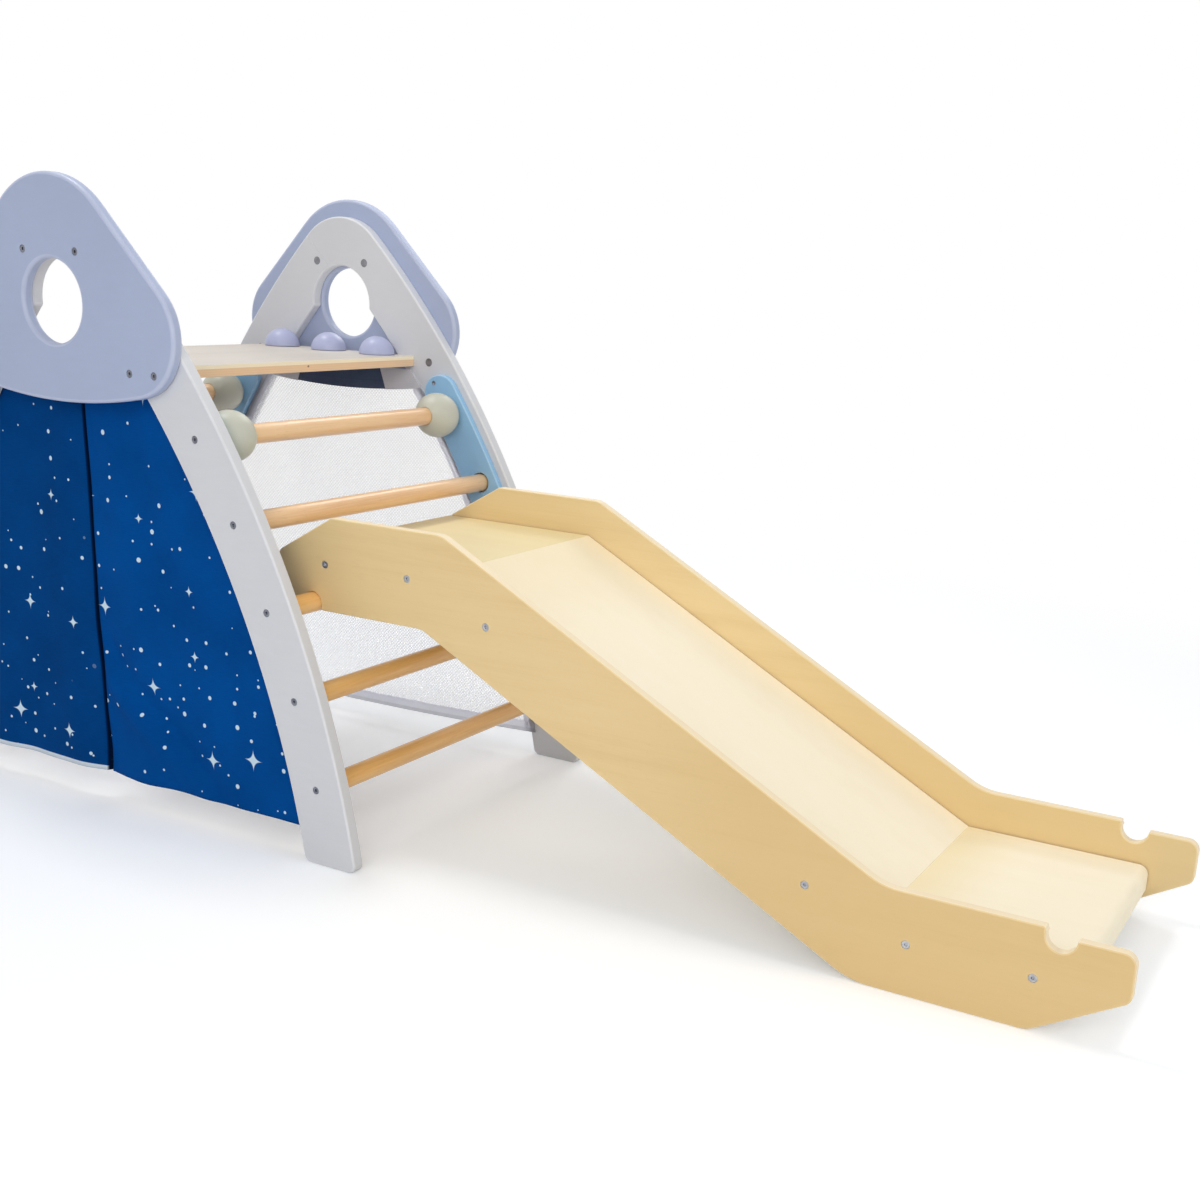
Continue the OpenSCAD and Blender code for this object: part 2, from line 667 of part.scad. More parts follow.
module net_tapes() {
    color([0.85, 0.85, 0.87]) place() for (sx = SIDES) tape(sx, 1);
}

// Region between the legs, from z0 to z1 and out to radius r of the leg arc
module den_outline(z0, z1, r) {
    right = arc(arc_c, r, cloth_a(z0, r), cloth_a(z1, r), 24);
    polygon(concat(right, flip(right)));
}

header_z = cloth_top_z - header_h;
net_edge_r = cloth_edge_r - hem_w;
net_low_z = cloth_up + hem_w;
hole_half = (net_pitch - net_cord) / 2;
function hole_fits(x, z) = z - hole_half > net_low_z + net_cord && z + hole_half < header_z - net_cord
    && norm([abs(x) + hole_half, z + hole_half] - arc_c) < net_edge_r - net_cord;

module back_net() {
    cols = ceil(stance / net_pitch);
    rows = ceil(deck_z / net_pitch);
    color([0.95, 0.95, 0.96]) place() slab(cloth_y - cloth_t, cloth_t) difference() {
        den_outline(net_low_z, header_z, net_edge_r);
        for (i = [-cols : cols], j = [0 : rows]) {
            x = i * net_pitch;
            z = net_low_z + net_cord + (j + 0.5) * net_pitch;
            if (hole_fits(x, z)) translate([x, z]) square(2 * hole_half, center = true);
        }
    }
}

module net_hem() {
    color([0.68, 0.68, 0.71]) place() slab(cloth_y - cloth_t, cloth_t) difference() {
        den_outline(cloth_up, header_z, cloth_edge_r);
        den_outline(net_low_z, header_z, net_edge_r);
        translate([-stance, header_z]) square([2 * stance, net_low_z]);
    }
}

module net_header() {
    color([0.05, 0.24, 0.50]) place() slab(cloth_y - cloth_t, cloth_t)
        den_outline(header_z, cloth_top_z, cloth_edge_r);
}

module rail_outline() {
    top_z = under_z + rail_depth;
    low_bend = rail_line(rail_depth);
    polygon(rounded([
        [tip_x, under_z, tip_round],
        [tip_x, under_z + hook_tip_h, brow_round],
        [hook[0] + shoulder_x, top_z, shoulder_round],
        [bend1_x, top_z, bend_round],
        [bend2_x, rail_depth, low_bend_round],
        [store_x, rail_depth, 0],
        [store_x, rail_depth - tail_drop, 0],
        [end_x, rail_depth - tail_drop, tail_round],
        [end_x, chin_h, chin_round],
        [store_x - heel_back, 0, heel_round],
        [low_bend[1][0], 0, floor_round],
        [low_bend[0][0], under_z, under_round]]));
}

module slide_rail(sy) {
    color([0.88, 0.77, 0.54]) place() on_side(1, sy) difference() {
        slab(bed_half, rail_t) rail_outline();
        y_bar(hook, bed_half - 1, rail_half + 1, rung_d + 2 * hook_clear);
        translate([hook[0] - rung_d / 2 - mouth_room, bed_half - 1, under_z - 1])
            cube([rung_d + 2 * mouth_room, rail_t + 2, hook_drop - mouth_drop + 1]);
        y_bar([store_x, rail_depth - store_depth + store_w / 2], bed_half - 1, rail_half + 1, store_w);
        translate([store_x - store_w / 2 - store_room, bed_half - 1,
                rail_depth - store_depth + store_w / 2 + store_rise])
            cube([store_w + 2 * store_room, rail_t + 2, store_depth]);
        for (b = slide_bolts_at) into_face(b[0], rail_half) bolt_room(rail_t);
    }
}

// Bed panel between two corners of its upper face, with the bolts' and nuts' holes
module bed_panel(outline, holes) {
    color([0.97, 0.92, 0.79]) place() difference() {
        slab(-bed_half, bed_w) polygon(outline);
        for (k = holes, sy = SIDES) {
            b = slide_bolts_at[k];
            on_side(1, sy) y_bar(b[0], bed_half - barrel_reach - bolt_past, bed_half + 1, bolt_hole_d);
            translate([b[0][0], sy * (bed_half - barrel_in), b[0][1]]) rotate([0, b[1], 0])
                translate([0, 0, -bed_t]) cylinder(d = insert_d + 2 * bolt_clear, h = bed_t + barrel_l / 2);
        }
    }
}

bed_up = rail_line(rail_up);
bed_low = rail_line(rail_up + bed_t);

module bed_top() {
    bed_panel([[bed_start_x, bed_low[0][1]], bed_low[0], bed_up[0], [bed_start_x, bed_up[0][1]]], [0, 1]);
}

module bed_slope() {
    bed_panel([bed_low[0], bed_low[1], bed_up[1], bed_up[0]], [2, 3]);
}

module bed_foot() {
    bed_panel(rounded([[bed_low[1][0], bed_low[1][1], 0], [bed_end_x, bed_low[1][1], 0],
        [bed_end_x, bed_up[1][1], bed_round], [bed_up[1][0], bed_up[1][1], 0]]), [4, 5]);
}

module foot_batten() {
    low_z = bed_low[1][1] - batten_t;
    color([0.97, 0.92, 0.79]) place()
        translate([bed_end_x - batten_l, -bed_half, low_z]) cube([batten_l, bed_w, batten_t]);
}

module slide_bolts() {
    color([0.62, 0.63, 0.66]) place() for (b = slide_bolts_at, sy = SIDES)
        on_side(1, sy) into_face(b[0], rail_half - bolt_sunk) bolt(rail_t + barrel_reach);
}

module slide_barrel_nuts() {
    color([0.70, 0.71, 0.73]) place() for (b = slide_bolts_at, sy = SIDES)
        translate([b[0][0], sy * (bed_half - barrel_in), b[0][1]]) rotate([0, b[1], 0]) barrel_nut();
}

leg(-1, -1);  // near_left_leg
leg(1, -1);  // near_right_leg
leg(-1, 1);  // far_left_leg
leg(1, 1);  // far_right_leg
nose(-1);  // near_nose
nose(1);  // far_nose
rung(1, 1);  // right_rung_1
rung(1, 2);  // right_rung_2
rung(1, 3);  // right_rung_3
rung(1, 4);  // right_rung_4
rung(1, 5);  // right_rung_5
rung(-1, 1);  // left_rung_1
rung(-1, 2);  // left_rung_2
rung(-1, 3);  // left_rung_3
rung(-1, 4);  // left_rung_4
rung(-1, 5);  // left_rung_5
plate(-1, -1);  // near_left_plate
plate(1, -1);  // near_right_plate
plate(-1, 1);  // far_left_plate
plate(1, 1);  // far_right_plate
ball(-1, -1);  // near_left_ball
ball(1, -1);  // near_right_ball
ball(-1, 1);  // far_left_ball
ball(1, 1);  // far_right_ball
deck();
knob(-1);  // left_knob
knob(0);  // middle_knob
knob(1);  // right_knob
knob_screws();
nose_bolts();
nose_nuts();
deck_bolts();
deck_barrel_nuts();
rung_bolts();
rung_inserts();
plate_screws();
flap(-1, 60);  // curtain_left_flap
flap(1, 20);  // curtain_right_flap
curtain_tapes();
back_net();
net_hem();
net_header();
net_tapes();
slide_rail(-1);  // near_rail
slide_rail(1);  // far_rail
bed_top();
bed_slope();
bed_foot();
foot_batten();
slide_bolts();
slide_barrel_nuts();
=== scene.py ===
import json
import math

import bmesh
import bpy
from mathutils import Matrix, Vector, noise
from mathutils.bvhtree import BVHTree

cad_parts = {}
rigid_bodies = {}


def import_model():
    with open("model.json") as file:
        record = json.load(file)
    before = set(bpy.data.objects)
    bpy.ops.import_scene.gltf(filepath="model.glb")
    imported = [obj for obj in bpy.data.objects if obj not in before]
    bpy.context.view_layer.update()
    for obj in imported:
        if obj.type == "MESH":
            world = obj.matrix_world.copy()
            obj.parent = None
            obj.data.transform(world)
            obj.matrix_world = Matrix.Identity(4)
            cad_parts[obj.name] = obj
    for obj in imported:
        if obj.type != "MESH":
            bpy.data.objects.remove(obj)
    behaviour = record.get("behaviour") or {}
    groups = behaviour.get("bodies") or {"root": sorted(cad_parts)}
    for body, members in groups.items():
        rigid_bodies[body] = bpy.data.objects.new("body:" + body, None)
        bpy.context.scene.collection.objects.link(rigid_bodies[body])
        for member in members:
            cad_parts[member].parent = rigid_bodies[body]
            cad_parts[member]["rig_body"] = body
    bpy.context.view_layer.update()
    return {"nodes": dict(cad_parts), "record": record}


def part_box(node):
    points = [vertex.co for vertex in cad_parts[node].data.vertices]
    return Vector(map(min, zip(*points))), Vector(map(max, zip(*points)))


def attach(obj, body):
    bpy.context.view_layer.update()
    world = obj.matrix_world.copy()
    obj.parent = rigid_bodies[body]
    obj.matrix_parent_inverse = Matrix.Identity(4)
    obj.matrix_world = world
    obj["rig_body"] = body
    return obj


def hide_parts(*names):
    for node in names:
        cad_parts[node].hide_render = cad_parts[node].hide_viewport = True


for leftover in list(bpy.data.objects):
    bpy.data.objects.remove(leftover)
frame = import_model()
nodes = frame["nodes"]
slotOf = {part["node"]: part["material_slot"] for part in frame["record"]["subparts"]}
noseLow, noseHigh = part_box("near_nose")
midX = (noseLow.x + noseHigh.x) / 2  # the middle of the climbing frame
fullTurn = 2 * math.pi
print("frame loaded:", len(nodes), "nodes")


# Camera, at the photograph's angle

photoCamera = {
    "place": (1.292796, -1.811239, 0.867073),
    "yaw": 0.471629, "pitch": 0.283297, "roll": 0.051534,
    "sensor": 36, "lens": 43.50, "shift": (-0.08, 0.075),
}


def setCamera(look):
    data = bpy.data.cameras.new("photoCamera")
    data.sensor_width = look["sensor"]
    data.lens = look["lens"]
    data.shift_x, data.shift_y = look["shift"]
    camera = bpy.data.objects.new("photoCamera", data)
    bpy.context.scene.collection.objects.link(camera)
    camera.matrix_world = (Matrix.Translation(look["place"]) @ Matrix.Rotation(look["yaw"], 4, "Z")
                           @ Matrix.Rotation(math.pi / 2 - look["pitch"], 4, "X")
                           @ Matrix.Rotation(look["roll"], 4, "Z"))
    bpy.context.scene.camera = camera


setCamera(photoCamera)
print("camera set")


# Finishes

def colour(red, green, blue):  # screen values, 0 to 255, to scene values
    shares = [part / 255 for part in (red, green, blue)]
    return tuple(s / 12.92 if s <= 0.04045 else ((s + 0.055) / 1.055) ** 2.4 for s in shares) + (1.0,)


def deeper(shade, share):  # a darker tone of a scene colour
    return tuple(part * share for part in shade[:3]) + (1.0,)


class Wire:  # a shader socket that takes part in sums
    def __init__(self, socket):
        self.socket = socket

    def node(self, kind, sockets, out=0, stops=None, **settings):
        tree = self.socket.id_data
        made = tree.nodes.new("ShaderNode" + kind)
        for key, value in settings.items():
            setattr(made, key, value)
        if stops:
            ramp = made.color_ramp.elements
            ramp.remove(ramp[1])
            ramp[0].position, ramp[0].color = stops[0]
            for position, tint in stops[1:]:
                ramp.new(position).color = tint
        for key, value in sockets.items():
            if isinstance(value, Wire):
                tree.links.new(value.socket, made.inputs[key])
            else:
                made.inputs[key].default_value = value
        return Wire(made.outputs[out])

    def math(self, operation, first, second=0.0):
        return self.node("Math", {0: first, 1: second}, operation=operation)

    def __add__(self, other):
        return self.math("ADD", self, other)

    def __sub__(self, other):
        return self.math("SUBTRACT", self, other)

    def __rsub__(self, other):
        return self.math("SUBTRACT", other, self)

    def __mul__(self, other):
        return self.math("MULTIPLY", self, other)

    def __pow__(self, other):
        return self.math("POWER", self, other)

    def __truediv__(self, other):
        return self.math("DIVIDE", self, other)

    __radd__ = __add__
    __rmul__ = __mul__

    def __abs__(self):
        return self.math("ABSOLUTE", self)

    def sine(self):
        return self.math("SINE", self)

    def waves(self, pitch):  # a sine with one turn per pitch
        return (self * (fullTurn / pitch)).sine()

    def top(self, other):
        return self.math("MAXIMUM", self, other)

    def soft(self, start, end):  # a smooth step from 0 to 1
        return self.node("MapRange", {0: self, 1: start, 2: end}, interpolation_type="SMOOTHSTEP")

    def mix(self, low, high):
        return self.node("Mix", {0: self, 6: low, 7: high}, out=2, data_type="RGBA")

    def ramp(self, stops):
        return self.node("ValToRGB", {0: self}, stops=stops)

    def stretched(self, scale):
        return self.node("VectorMath", {0: self, 1: scale}, operation="MULTIPLY")

    def axes(self):
        split = self.node("SeparateXYZ", {0: self}).socket.node
        return [Wire(output) for output in split.outputs]

    def noise(self, scale=1.0, detail=3.0, rough=0.5):
        return self.node("TexNoise", {"Vector": self, "Scale": scale, "Detail": detail, "Roughness": rough})

    def bump(self, strength, depth):
        return self.node("Bump", {"Height": self, "Strength": strength, "Distance": depth})


def newFinish(name, fixed, coords="Object"):
    finish = bpy.data.materials.new(name)
    finish.use_nodes = True
    shader = finish.node_tree.nodes["Principled BSDF"]
    for key, value in fixed.items():
        shader.inputs[key].default_value = value
    seed = Wire(shader.inputs["Base Color"])
    place = Wire(seed.node("TexCoord", {}).socket.node.outputs[coords])
    return finish, shader, place


def feed(shader, **wires):
    words = {"base": "Base Color", "roughness": "Roughness", "normal": "Normal"}
    for key, wire in wires.items():
        shader.id_data.links.new(wire.socket, shader.inputs[words[key]])


def rimOf(place):  # 1 on the rounded edges of a board
    return place.node("Attribute", {}, out=2, attribute_name="rim")


paint = {
    "specular": 0.4, "wearAndHighlight": 0.42, "deep": 0.955, "cloud": 5.0, "brush": (30, 30, 120), "stipple": 620,
    "rimPatches": 24, "bump": (0.16, 0.0006),
}


def paintFinish(name, shade, edge, gloss=0.40):
    finish, shader, place = newFinish(name, {"Specular IOR Level": paint["specular"]})
    cloud = place.noise(paint["cloud"], 3)
    brush = place.stretched(paint["brush"]).noise(1.0, 3)
    stipple = place.noise(paint["stipple"], 2)
    rim = rimOf(place)
    coat = colour(*shade)
    tone = (cloud * 0.7 + brush * 0.3).soft(0.3, 0.7).mix(deeper(coat, paint["deep"]), coat)
    # rounded edges lighter: partly wear, partly painted highlight
    rubbedAndHighlit = rim * (0.72 + 0.28 * place.noise(paint["rimPatches"], 3).soft(0.32, 0.68)) * paint["wearAndHighlight"]
    feed(shader, base=rubbedAndHighlit.mix(tone, colour(*edge)), roughness=gloss + 0.14 * cloud - 0.05 * rim,
         normal=(stipple * 0.7 + brush * 0.5).bump(*paint["bump"]))
    return finish


wood = {  # the grain's scales are across and along the board
    "specular": 0.42, "coatRoughness": 0.16, "fibre": (520.0, 16.0), "band": (34.0, 1.8),
    "cloud": (11.0, 0.7), "pore": (300.0, 60.0), "poreEdge": (0.60, 0.74), "poreShade": 0.62,
    "stops": (0.30, 0.5, 0.74), "bump": (0.18, 0.0005),
}


def woodFinish(name, pale, mid, dark, along, gloss=0.42, contrast=1.0, flecks=0.18, wearAndHighlight=0.45,
               lacquer=0.0, shadeDrift=None, shadeTone=None, edgeShadow=None):
    finish, shader, place = newFinish(name, {
        "Specular IOR Level": wood["specular"],
        "Coat Weight": lacquer, "Coat Roughness": wood["coatRoughness"]})

    def grain(key):
        across, length = wood[key]
        scale = [across] * 3
        scale[along] = length
        return place.stretched(scale)

    fibre = grain("fibre").noise(1.0, 3)
    band = grain("band").noise(1.0, 4, 0.6)
    cloud = grain("cloud").noise(1.0, 2)
    pores = grain("pore").noise(1.0, 2).soft(*wood["poreEdge"])
    rim = rimOf(place)
    figure = (band * 0.5 + fibre * 0.2 + cloud * 0.3 - 0.5) * contrast + 0.5
    tones = [colour(*tone) for tone in (dark, mid, pale)]
    base = figure.ramp(list(zip(wood["stops"], tones)))
    base = (pores * flecks).mix(base, deeper(tones[1], wood["poreShade"]))
    # painted shade: the tone deepens towards the rails' foot, the top of the slope and the bend above the
    # foot
    if shadeDrift:  # the tone deepens along the board
        start, end, share = shadeDrift
        base = (place.axes()[along].soft(start, end) * share).mix(base, colour(*(shadeTone or dark)))
    # painted shadow along the bed's long edges, where it meets the rails
    if edgeShadow:  # a dark line along both long edges
        reach, width, tone = edgeShadow
        base = abs(place.axes()[1]).soft(reach - width, reach).mix(base, colour(*tone))
    # rounded edges paler: partly wear, partly painted highlight
    feed(shader, base=(rim * wearAndHighlight).mix(base, tones[2]), roughness=gloss + 0.16 * fibre - 0.06 * rim,
         normal=(fibre * 0.6 + band * 0.4 - pores * 0.5).bump(*wood["bump"]))
    return finish


sawnEdge = {
    "specular": 0.35, "contrast": 0.5, "wander": (9, 9, 9), "fibre": (210, 210, 210), "cloud": 8,
    "bump": (0.2, 0.0004),
}


def plyEdgeFinish(name, pale, dark, across, pitch):
    # sawn plies, seen as fine lines along the edge
    finish, shader, place = newFinish(name, {"Specular IOR Level": sawnEdge["specular"]})
    wander = place.stretched(sawnEdge["wander"]).noise(1.0, 2)
    layer = place.axes()[across] * (fullTurn / pitch) + wander * 0.8
    lines = (layer.sine() * 0.5 + 0.5).soft(0.15, 0.85)
    fibre = place.stretched(sawnEdge["fibre"]).noise(1.0, 3)
    cloud = place.noise(sawnEdge["cloud"], 2)
    mark = lines * sawnEdge["contrast"] * (0.6 + 0.4 * fibre) + 0.25 * cloud
    light = colour(*pale)
    base = mark.mix(light, colour(*dark))
    # rounded edges lighter: partly wear, partly painted highlight
    feed(shader, base=(rimOf(place) * 0.4).mix(base, light), roughness=0.46 + 0.2 * fibre,
         normal=(fibre * 0.5 + lines * 0.5).bump(*sawnEdge["bump"]))
    return finish


deckRim = {
    "veneer": (252, 238, 208), "ply": (244, 208, 168), "skin": 0.006, "blur": 0.0004, "pitch": 0.0034,
    "fibre": (30, 30, 420), "deep": 0.86, "knot": (0.02, 0.009), "knotWidth": 0.7,
    "knotEdge": (1.0e-6, 4.0e-6), "knotShade": (92, 64, 46),
}


def deckEdgeFinish(name, look):
    # a pale face veneer over warm plies, with one small knot
    finish, shader, place = newFinish(name, {"Specular IOR Level": sawnEdge["specular"]})
    _, y, z = place.axes()
    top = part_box("deck")[1].z
    skin = top - look["skin"]
    fibre = place.stretched(look["fibre"]).noise(1.0, 3)
    lines = (z * (fullTurn / look["pitch"]) + fibre * 0.9).sine() * 0.5 + 0.5
    low = 1 - z.soft(skin - look["blur"], skin + look["blur"])
    warm = colour(*look["ply"])
    plies = (lines * 0.35 + fibre * 0.3).mix(warm, deeper(warm, look["deep"]))
    knotY, knotDrop = look["knot"]
    spot = ((y - knotY) * look["knotWidth"]) ** 2 + (z - (top - knotDrop)) ** 2
    dark = 1 - spot.soft(*look["knotEdge"])
    edge = (dark * 0.8).mix(low.mix(colour(*look["veneer"]), plies), colour(*look["knotShade"]))
    feed(shader, base=edge, roughness=0.44 + 0.2 * fibre,
         normal=(fibre * 0.6 + lines * 0.4).bump(*sawnEdge["bump"]))
    return finish


steel = {"turning": 900, "stain": 120, "dull": 0.7, "bump": (0.08, 0.0002)}


def metalFinish(name, shade, gloss):
    finish, shader, place = newFinish(name, {"Metallic": 1.0})
    turning = place.noise(steel["turning"], 2)
    stain = place.noise(steel["stain"], 3)
    bright = colour(*shade)
    feed(shader, base=stain.soft(0.35, 0.7).mix(deeper(bright, steel["dull"]), bright),
         roughness=gloss + 0.18 * stain, normal=turning.bump(*steel["bump"]))
    return finish


rungWood = {"along": 1, "gloss": 0.30, "lacquer": 0.35}
# the rails' drift paints shade towards their foot
railWood = {"along": 0, "contrast": 0.42, "flecks": 0.06, "shadeDrift": (0.30, 0.62, 0.5)}
# painted shadow along the bed's edges by the rails: its reach, width and tone
bedEdgeShadow = (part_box("bed_slope")[1].y, 0.0055, (150, 114, 58))
bedWood = {"along": 0, "contrast": 0.4, "flecks": 0.03, "wearAndHighlight": 0.0, "edgeShadow": bedEdgeShadow}
cream = ((252, 245, 225), (250, 239, 213), (243, 229, 198))
finishes = {
    # each paint's second colour is its lighter rounded edge: partly wear, partly painted highlight
    "leg_paint": paintFinish("legPaint", (216, 217, 221), (237, 237, 239)),
    "nose_paint": paintFinish("nosePaint", (172, 183, 211), (207, 212, 232)),
    "plate_paint": paintFinish("platePaint", (152, 197, 233), (186, 216, 238)),
    "ball_paint": paintFinish("ballPaint", (199, 199, 184), (222, 222, 211), gloss=0.34),
    "knob_paint": paintFinish("knobPaint", (178, 183, 214), (206, 210, 231), gloss=0.30),
    "beech": woodFinish("turnedBeech", (250, 221, 182), (239, 198, 151), (218, 166, 116), **rungWood),
    # a deeper, golden copy of the beech for the lower rungs: painted shade and bounce light
    "low_rungs": woodFinish("goldenShadedBeech", (251, 214, 152), (243, 190, 117), (219, 157, 84), **rungWood),
    "rail_ply": woodFinish("railPly", (243, 218, 168), (235, 206, 151), (215, 181, 121), **railWood),
    # a paler copy of the rail ply for the far rail: painted light
    "far_rail": woodFinish("farRailLitPly", (245, 225, 180), (237, 213, 162), (217, 187, 130), **railWood),
    # painted shade near the top of the slope and at the bend above the foot
    "bed_laminate": woodFinish("bedLaminate", *cream, gloss=0.60, shadeDrift=(0.27, 0.05, 0.6),
                               shadeTone=(240, 222, 182), **bedWood),
    "bed_foot": woodFinish("bedFootLaminate", *cream, gloss=0.60, shadeDrift=(0.86, 0.72, 0.65),
                           shadeTone=(236, 216, 164), **bedWood),
    # a darker copy of the laminate for the bed's top: painted shade
    "bed_top": woodFinish("bedTopShadedLaminate", (238, 222, 179), (233, 215, 166), (223, 201, 150),
                          gloss=0.45, **bedWood),
    "deck_board": woodFinish("deckTop", (217, 210, 202), (208, 200, 191), (192, 181, 171), 1, contrast=0.7),
    "dark_steel": metalFinish("darkSteel", (142, 144, 154), 0.34),
    "zinc_steel": metalFinish("zincSteel", (196, 198, 204), 0.28),
    "insert_brass": metalFinish("insertBrass", (214, 188, 118), 0.30),
    # a darker copy of the steel for the nose nuts: painted shade in their recesses
    "nose_nuts": metalFinish("shadedNutSteel", (150, 150, 156), 0.34),
}
edgeFinishes = {
    "rail": plyEdgeFinish("railEdge", (248, 234, 204), (226, 198, 152), 1, 0.0028),
    "bed": plyEdgeFinish("bedEdge", (244, 228, 196), (222, 194, 150), 2, 0.0026),
    "deck": deckEdgeFinish("deckEdge", deckRim),
}


def finishOf(name):  # a node's own finish, or that of its slot
    return finishes.get(name) or finishes[slotOf[name]]


print("finishes:", len(finishes) + len(edgeFinishes))


# Shared modelling steps

shaping = {
    "merge": 1e-5, "spinMerge": 1e-6, "flat": 0.3, "corner": 32, "seamReach": 0.0008, "steps": 3,
    "smallest": 0.06, "evenWeight": 80,
}


def newPiece(name, shape, looks, sharpAt=40.0):
    for face in shape.faces:
        face.smooth = True
    for edge in shape.edges:
        edge.smooth = len(edge.link_faces) != 2 or edge.calc_face_angle() < math.radians(sharpAt)
    mesh = bpy.data.meshes.new(name)
    shape.to_mesh(mesh)
    shape.free()
    for look in looks:
        mesh.materials.append(look)
    piece = bpy.data.objects.new(name, mesh)
    bpy.context.scene.collection.objects.link(piece)
    return piece


def evenShade(piece):
    even = piece.modifiers.new("evenShade", "WEIGHTED_NORMAL")
    even.keep_sharp = True
    even.weight = shaping["evenWeight"]


def stand(piece, slotName, *replaced):  # the piece takes the place of CAD nodes
    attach(piece, nodes[replaced[0]]["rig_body"])
    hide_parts(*replaced)


def skinOf(name):
    mesh = nodes[name].data
    return BVHTree.FromPolygons([v.co for v in mesh.vertices], [p.vertices for p in mesh.polygons])


def sharpEdges(shape, partners):
    # sharp edges, and those of them that lie in a seam against a partner
    corner = math.radians(shaping["corner"])
    sharp = {edge for edge in shape.edges if len(edge.link_faces) == 2 and edge.calc_face_angle() > corner}
    skins = [skinOf(partner) for partner in partners]
    seams = {edge for edge in sharp for skin in skins
             if skin.find_nearest((edge.verts[0].co + edge.verts[1].co) / 2)[3] < shaping["seamReach"]}
    return sharp - seams, seams


def rimLoops(sharp, smallest):
    # sharp edges in connected runs, without the small holes
    rims = []
    while sharp:
        run, waiting = [], [sharp.pop()]
        while waiting:
            edge = waiting.pop()
            run.append(edge)
            linked = {other for vert in edge.verts for other in vert.link_edges if other in sharp}
            sharp -= linked
            waiting += linked
        spots = [vert.co for edge in run for vert in edge.verts]
        reach = Vector([max(s[i] for s in spots) - min(s[i] for s in spots) for i in range(3)])
        if reach.length > smallest:
            rims += run
    return rims


def softened(name, look, partners):
    # a merged copy of a CAD node with its cut edges rounded, and fine grooves at its seams
    shape = bmesh.new()
    shape.from_mesh(nodes[name].data)
    bmesh.ops.remove_doubles(shape, verts=shape.verts, dist=shaping["merge"])
    bmesh.ops.dissolve_limit(shape, angle_limit=math.radians(shaping["flat"]), verts=shape.verts,
                             edges=shape.edges)
    rims = rimLoops(sharpEdges(shape, partners)[0], look.get("smallest", shaping["smallest"]))
    made = bmesh.ops.bevel(shape, geom=rims, offset=look["edge"], offset_type="OFFSET",
                           segments=look.get("steps", shaping["steps"]), profile=0.5, affect="EDGES",
                           clamp_overlap=look.get("clamp", False), material=-1)
    rim = shape.loops.layers.float.new("rim")
    for face in made["faces"]:
        for loop in face.loops:
            loop[rim] = 1.0
    seams = list(sharpEdges(shape, partners)[1]) if partners else []
    if seams:
        bmesh.ops.bevel(shape, geom=seams, offset=look["seam"], offset_type="OFFSET", segments=1,
                        profile=0.5, affect="EDGES", clamp_overlap=True, material=-1)
    return shape


def board(name, look, edgeFinish=None, pick=None, partners=()):
    shape = softened(name, look, partners)
    if pick:
        for face in shape.faces:
            face.material_index = pick(face)
    looks = [finishOf(name), edgeFinish] if edgeFinish else [finishOf(name)]
    piece = newPiece(name + "_" + look["kind"], shape, looks)
    evenShade(piece)
    stand(piece, slotOf[name], name)
    return piece


def turned(points, centre, axis, steps, closed=False):
    # a profile of (radius, place along the axis) turned once round
    shape = bmesh.new()
    side = Vector((0, 0, 1)) if axis.y else Vector((1, 0, 0))
    chain = [shape.verts.new(centre + side * radius + axis * along) for radius, along in points]
    edges = [shape.edges.new(pair) for pair in zip(chain, chain[1:])]
    if closed:
        edges.append(shape.edges.new((chain[-1], chain[0])))
    bmesh.ops.spin(shape, geom=chain + edges, cent=centre, axis=axis, angle=fullTurn, steps=steps,
                   use_merge=True)
    bmesh.ops.remove_doubles(shape, verts=shape.verts, dist=shaping["spinMerge"])
    bmesh.ops.recalc_face_normals(shape, faces=shape.faces)
    return shape


def arcPoints(centre, radius, start, end, count):
    turns = [math.radians(start + (end - start) * i / count) for i in range(count + 1)]
    return [(centre[0] + radius * math.cos(a), centre[1] + radius * math.sin(a)) for a in turns]


# Legs, nose boards and rung plates

legBoard = {"kind": "board", "edge": 0.0030, "seam": 0.0006}
noseBoard = {"kind": "board", "edge": 0.0050, "steps": 5}
rungPlate = {"kind": "block", "edge": 0.0022, "smallest": 0.03}
for side in ("near", "far"):
    for name, other in (("left", "right"), ("right", "left")):
        board(f"{side}_{name}_leg", legBoard, partners=[f"{side}_{other}_leg"])
for name in ("near_nose", "far_nose"):
    board(name, noseBoard)
for name in ("near_left_plate", "near_right_plate", "far_left_plate", "far_right_plate"):
    board(name, rungPlate)
print("boards softened")


# Rungs, balls and knobs, all turned

rungBar = {"edge": 0.0015, "edgeSteps": 3, "steps": 48, "wood": "beech"}
lowRungBar = dict(rungBar, wood="low_rungs")
rungBall = {"rise": 72, "steps": 72, "rim": 0.0012, "mouth": 0.6}
deckKnob = {
    "rise": 28, "steps": 64, "foot": 0.0015, "footSteps": 4,
    "base": 0.6, "cup": 0.3,  # shares of the radius
    "lip": 0.4, "lipDrop": 0.3, "footInset": 1.05, "domeStart": 1.2,  # shares of the foot's rounding
}


def rung(name, look):
    low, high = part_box(name)
    radius, half = (high.z - low.z) / 2, (high.y - low.y) / 2
    edge = look["edge"]
    end = arcPoints((radius - edge, half - edge), edge, 0, 90, look["edgeSteps"])
    points = [(0, -half)] + [(r, -a) for r, a in reversed(end)]
    points += [(radius, half * share) for share in (-0.5, 0, 0.5)] + end + [(0, half)]
    shape = turned(points, (low + high) / 2, Vector((0, 1, 0)), look["steps"])
    piece = newPiece(name + "_bar", shape, [finishes[look["wood"]]])
    stand(piece, "beech", name)


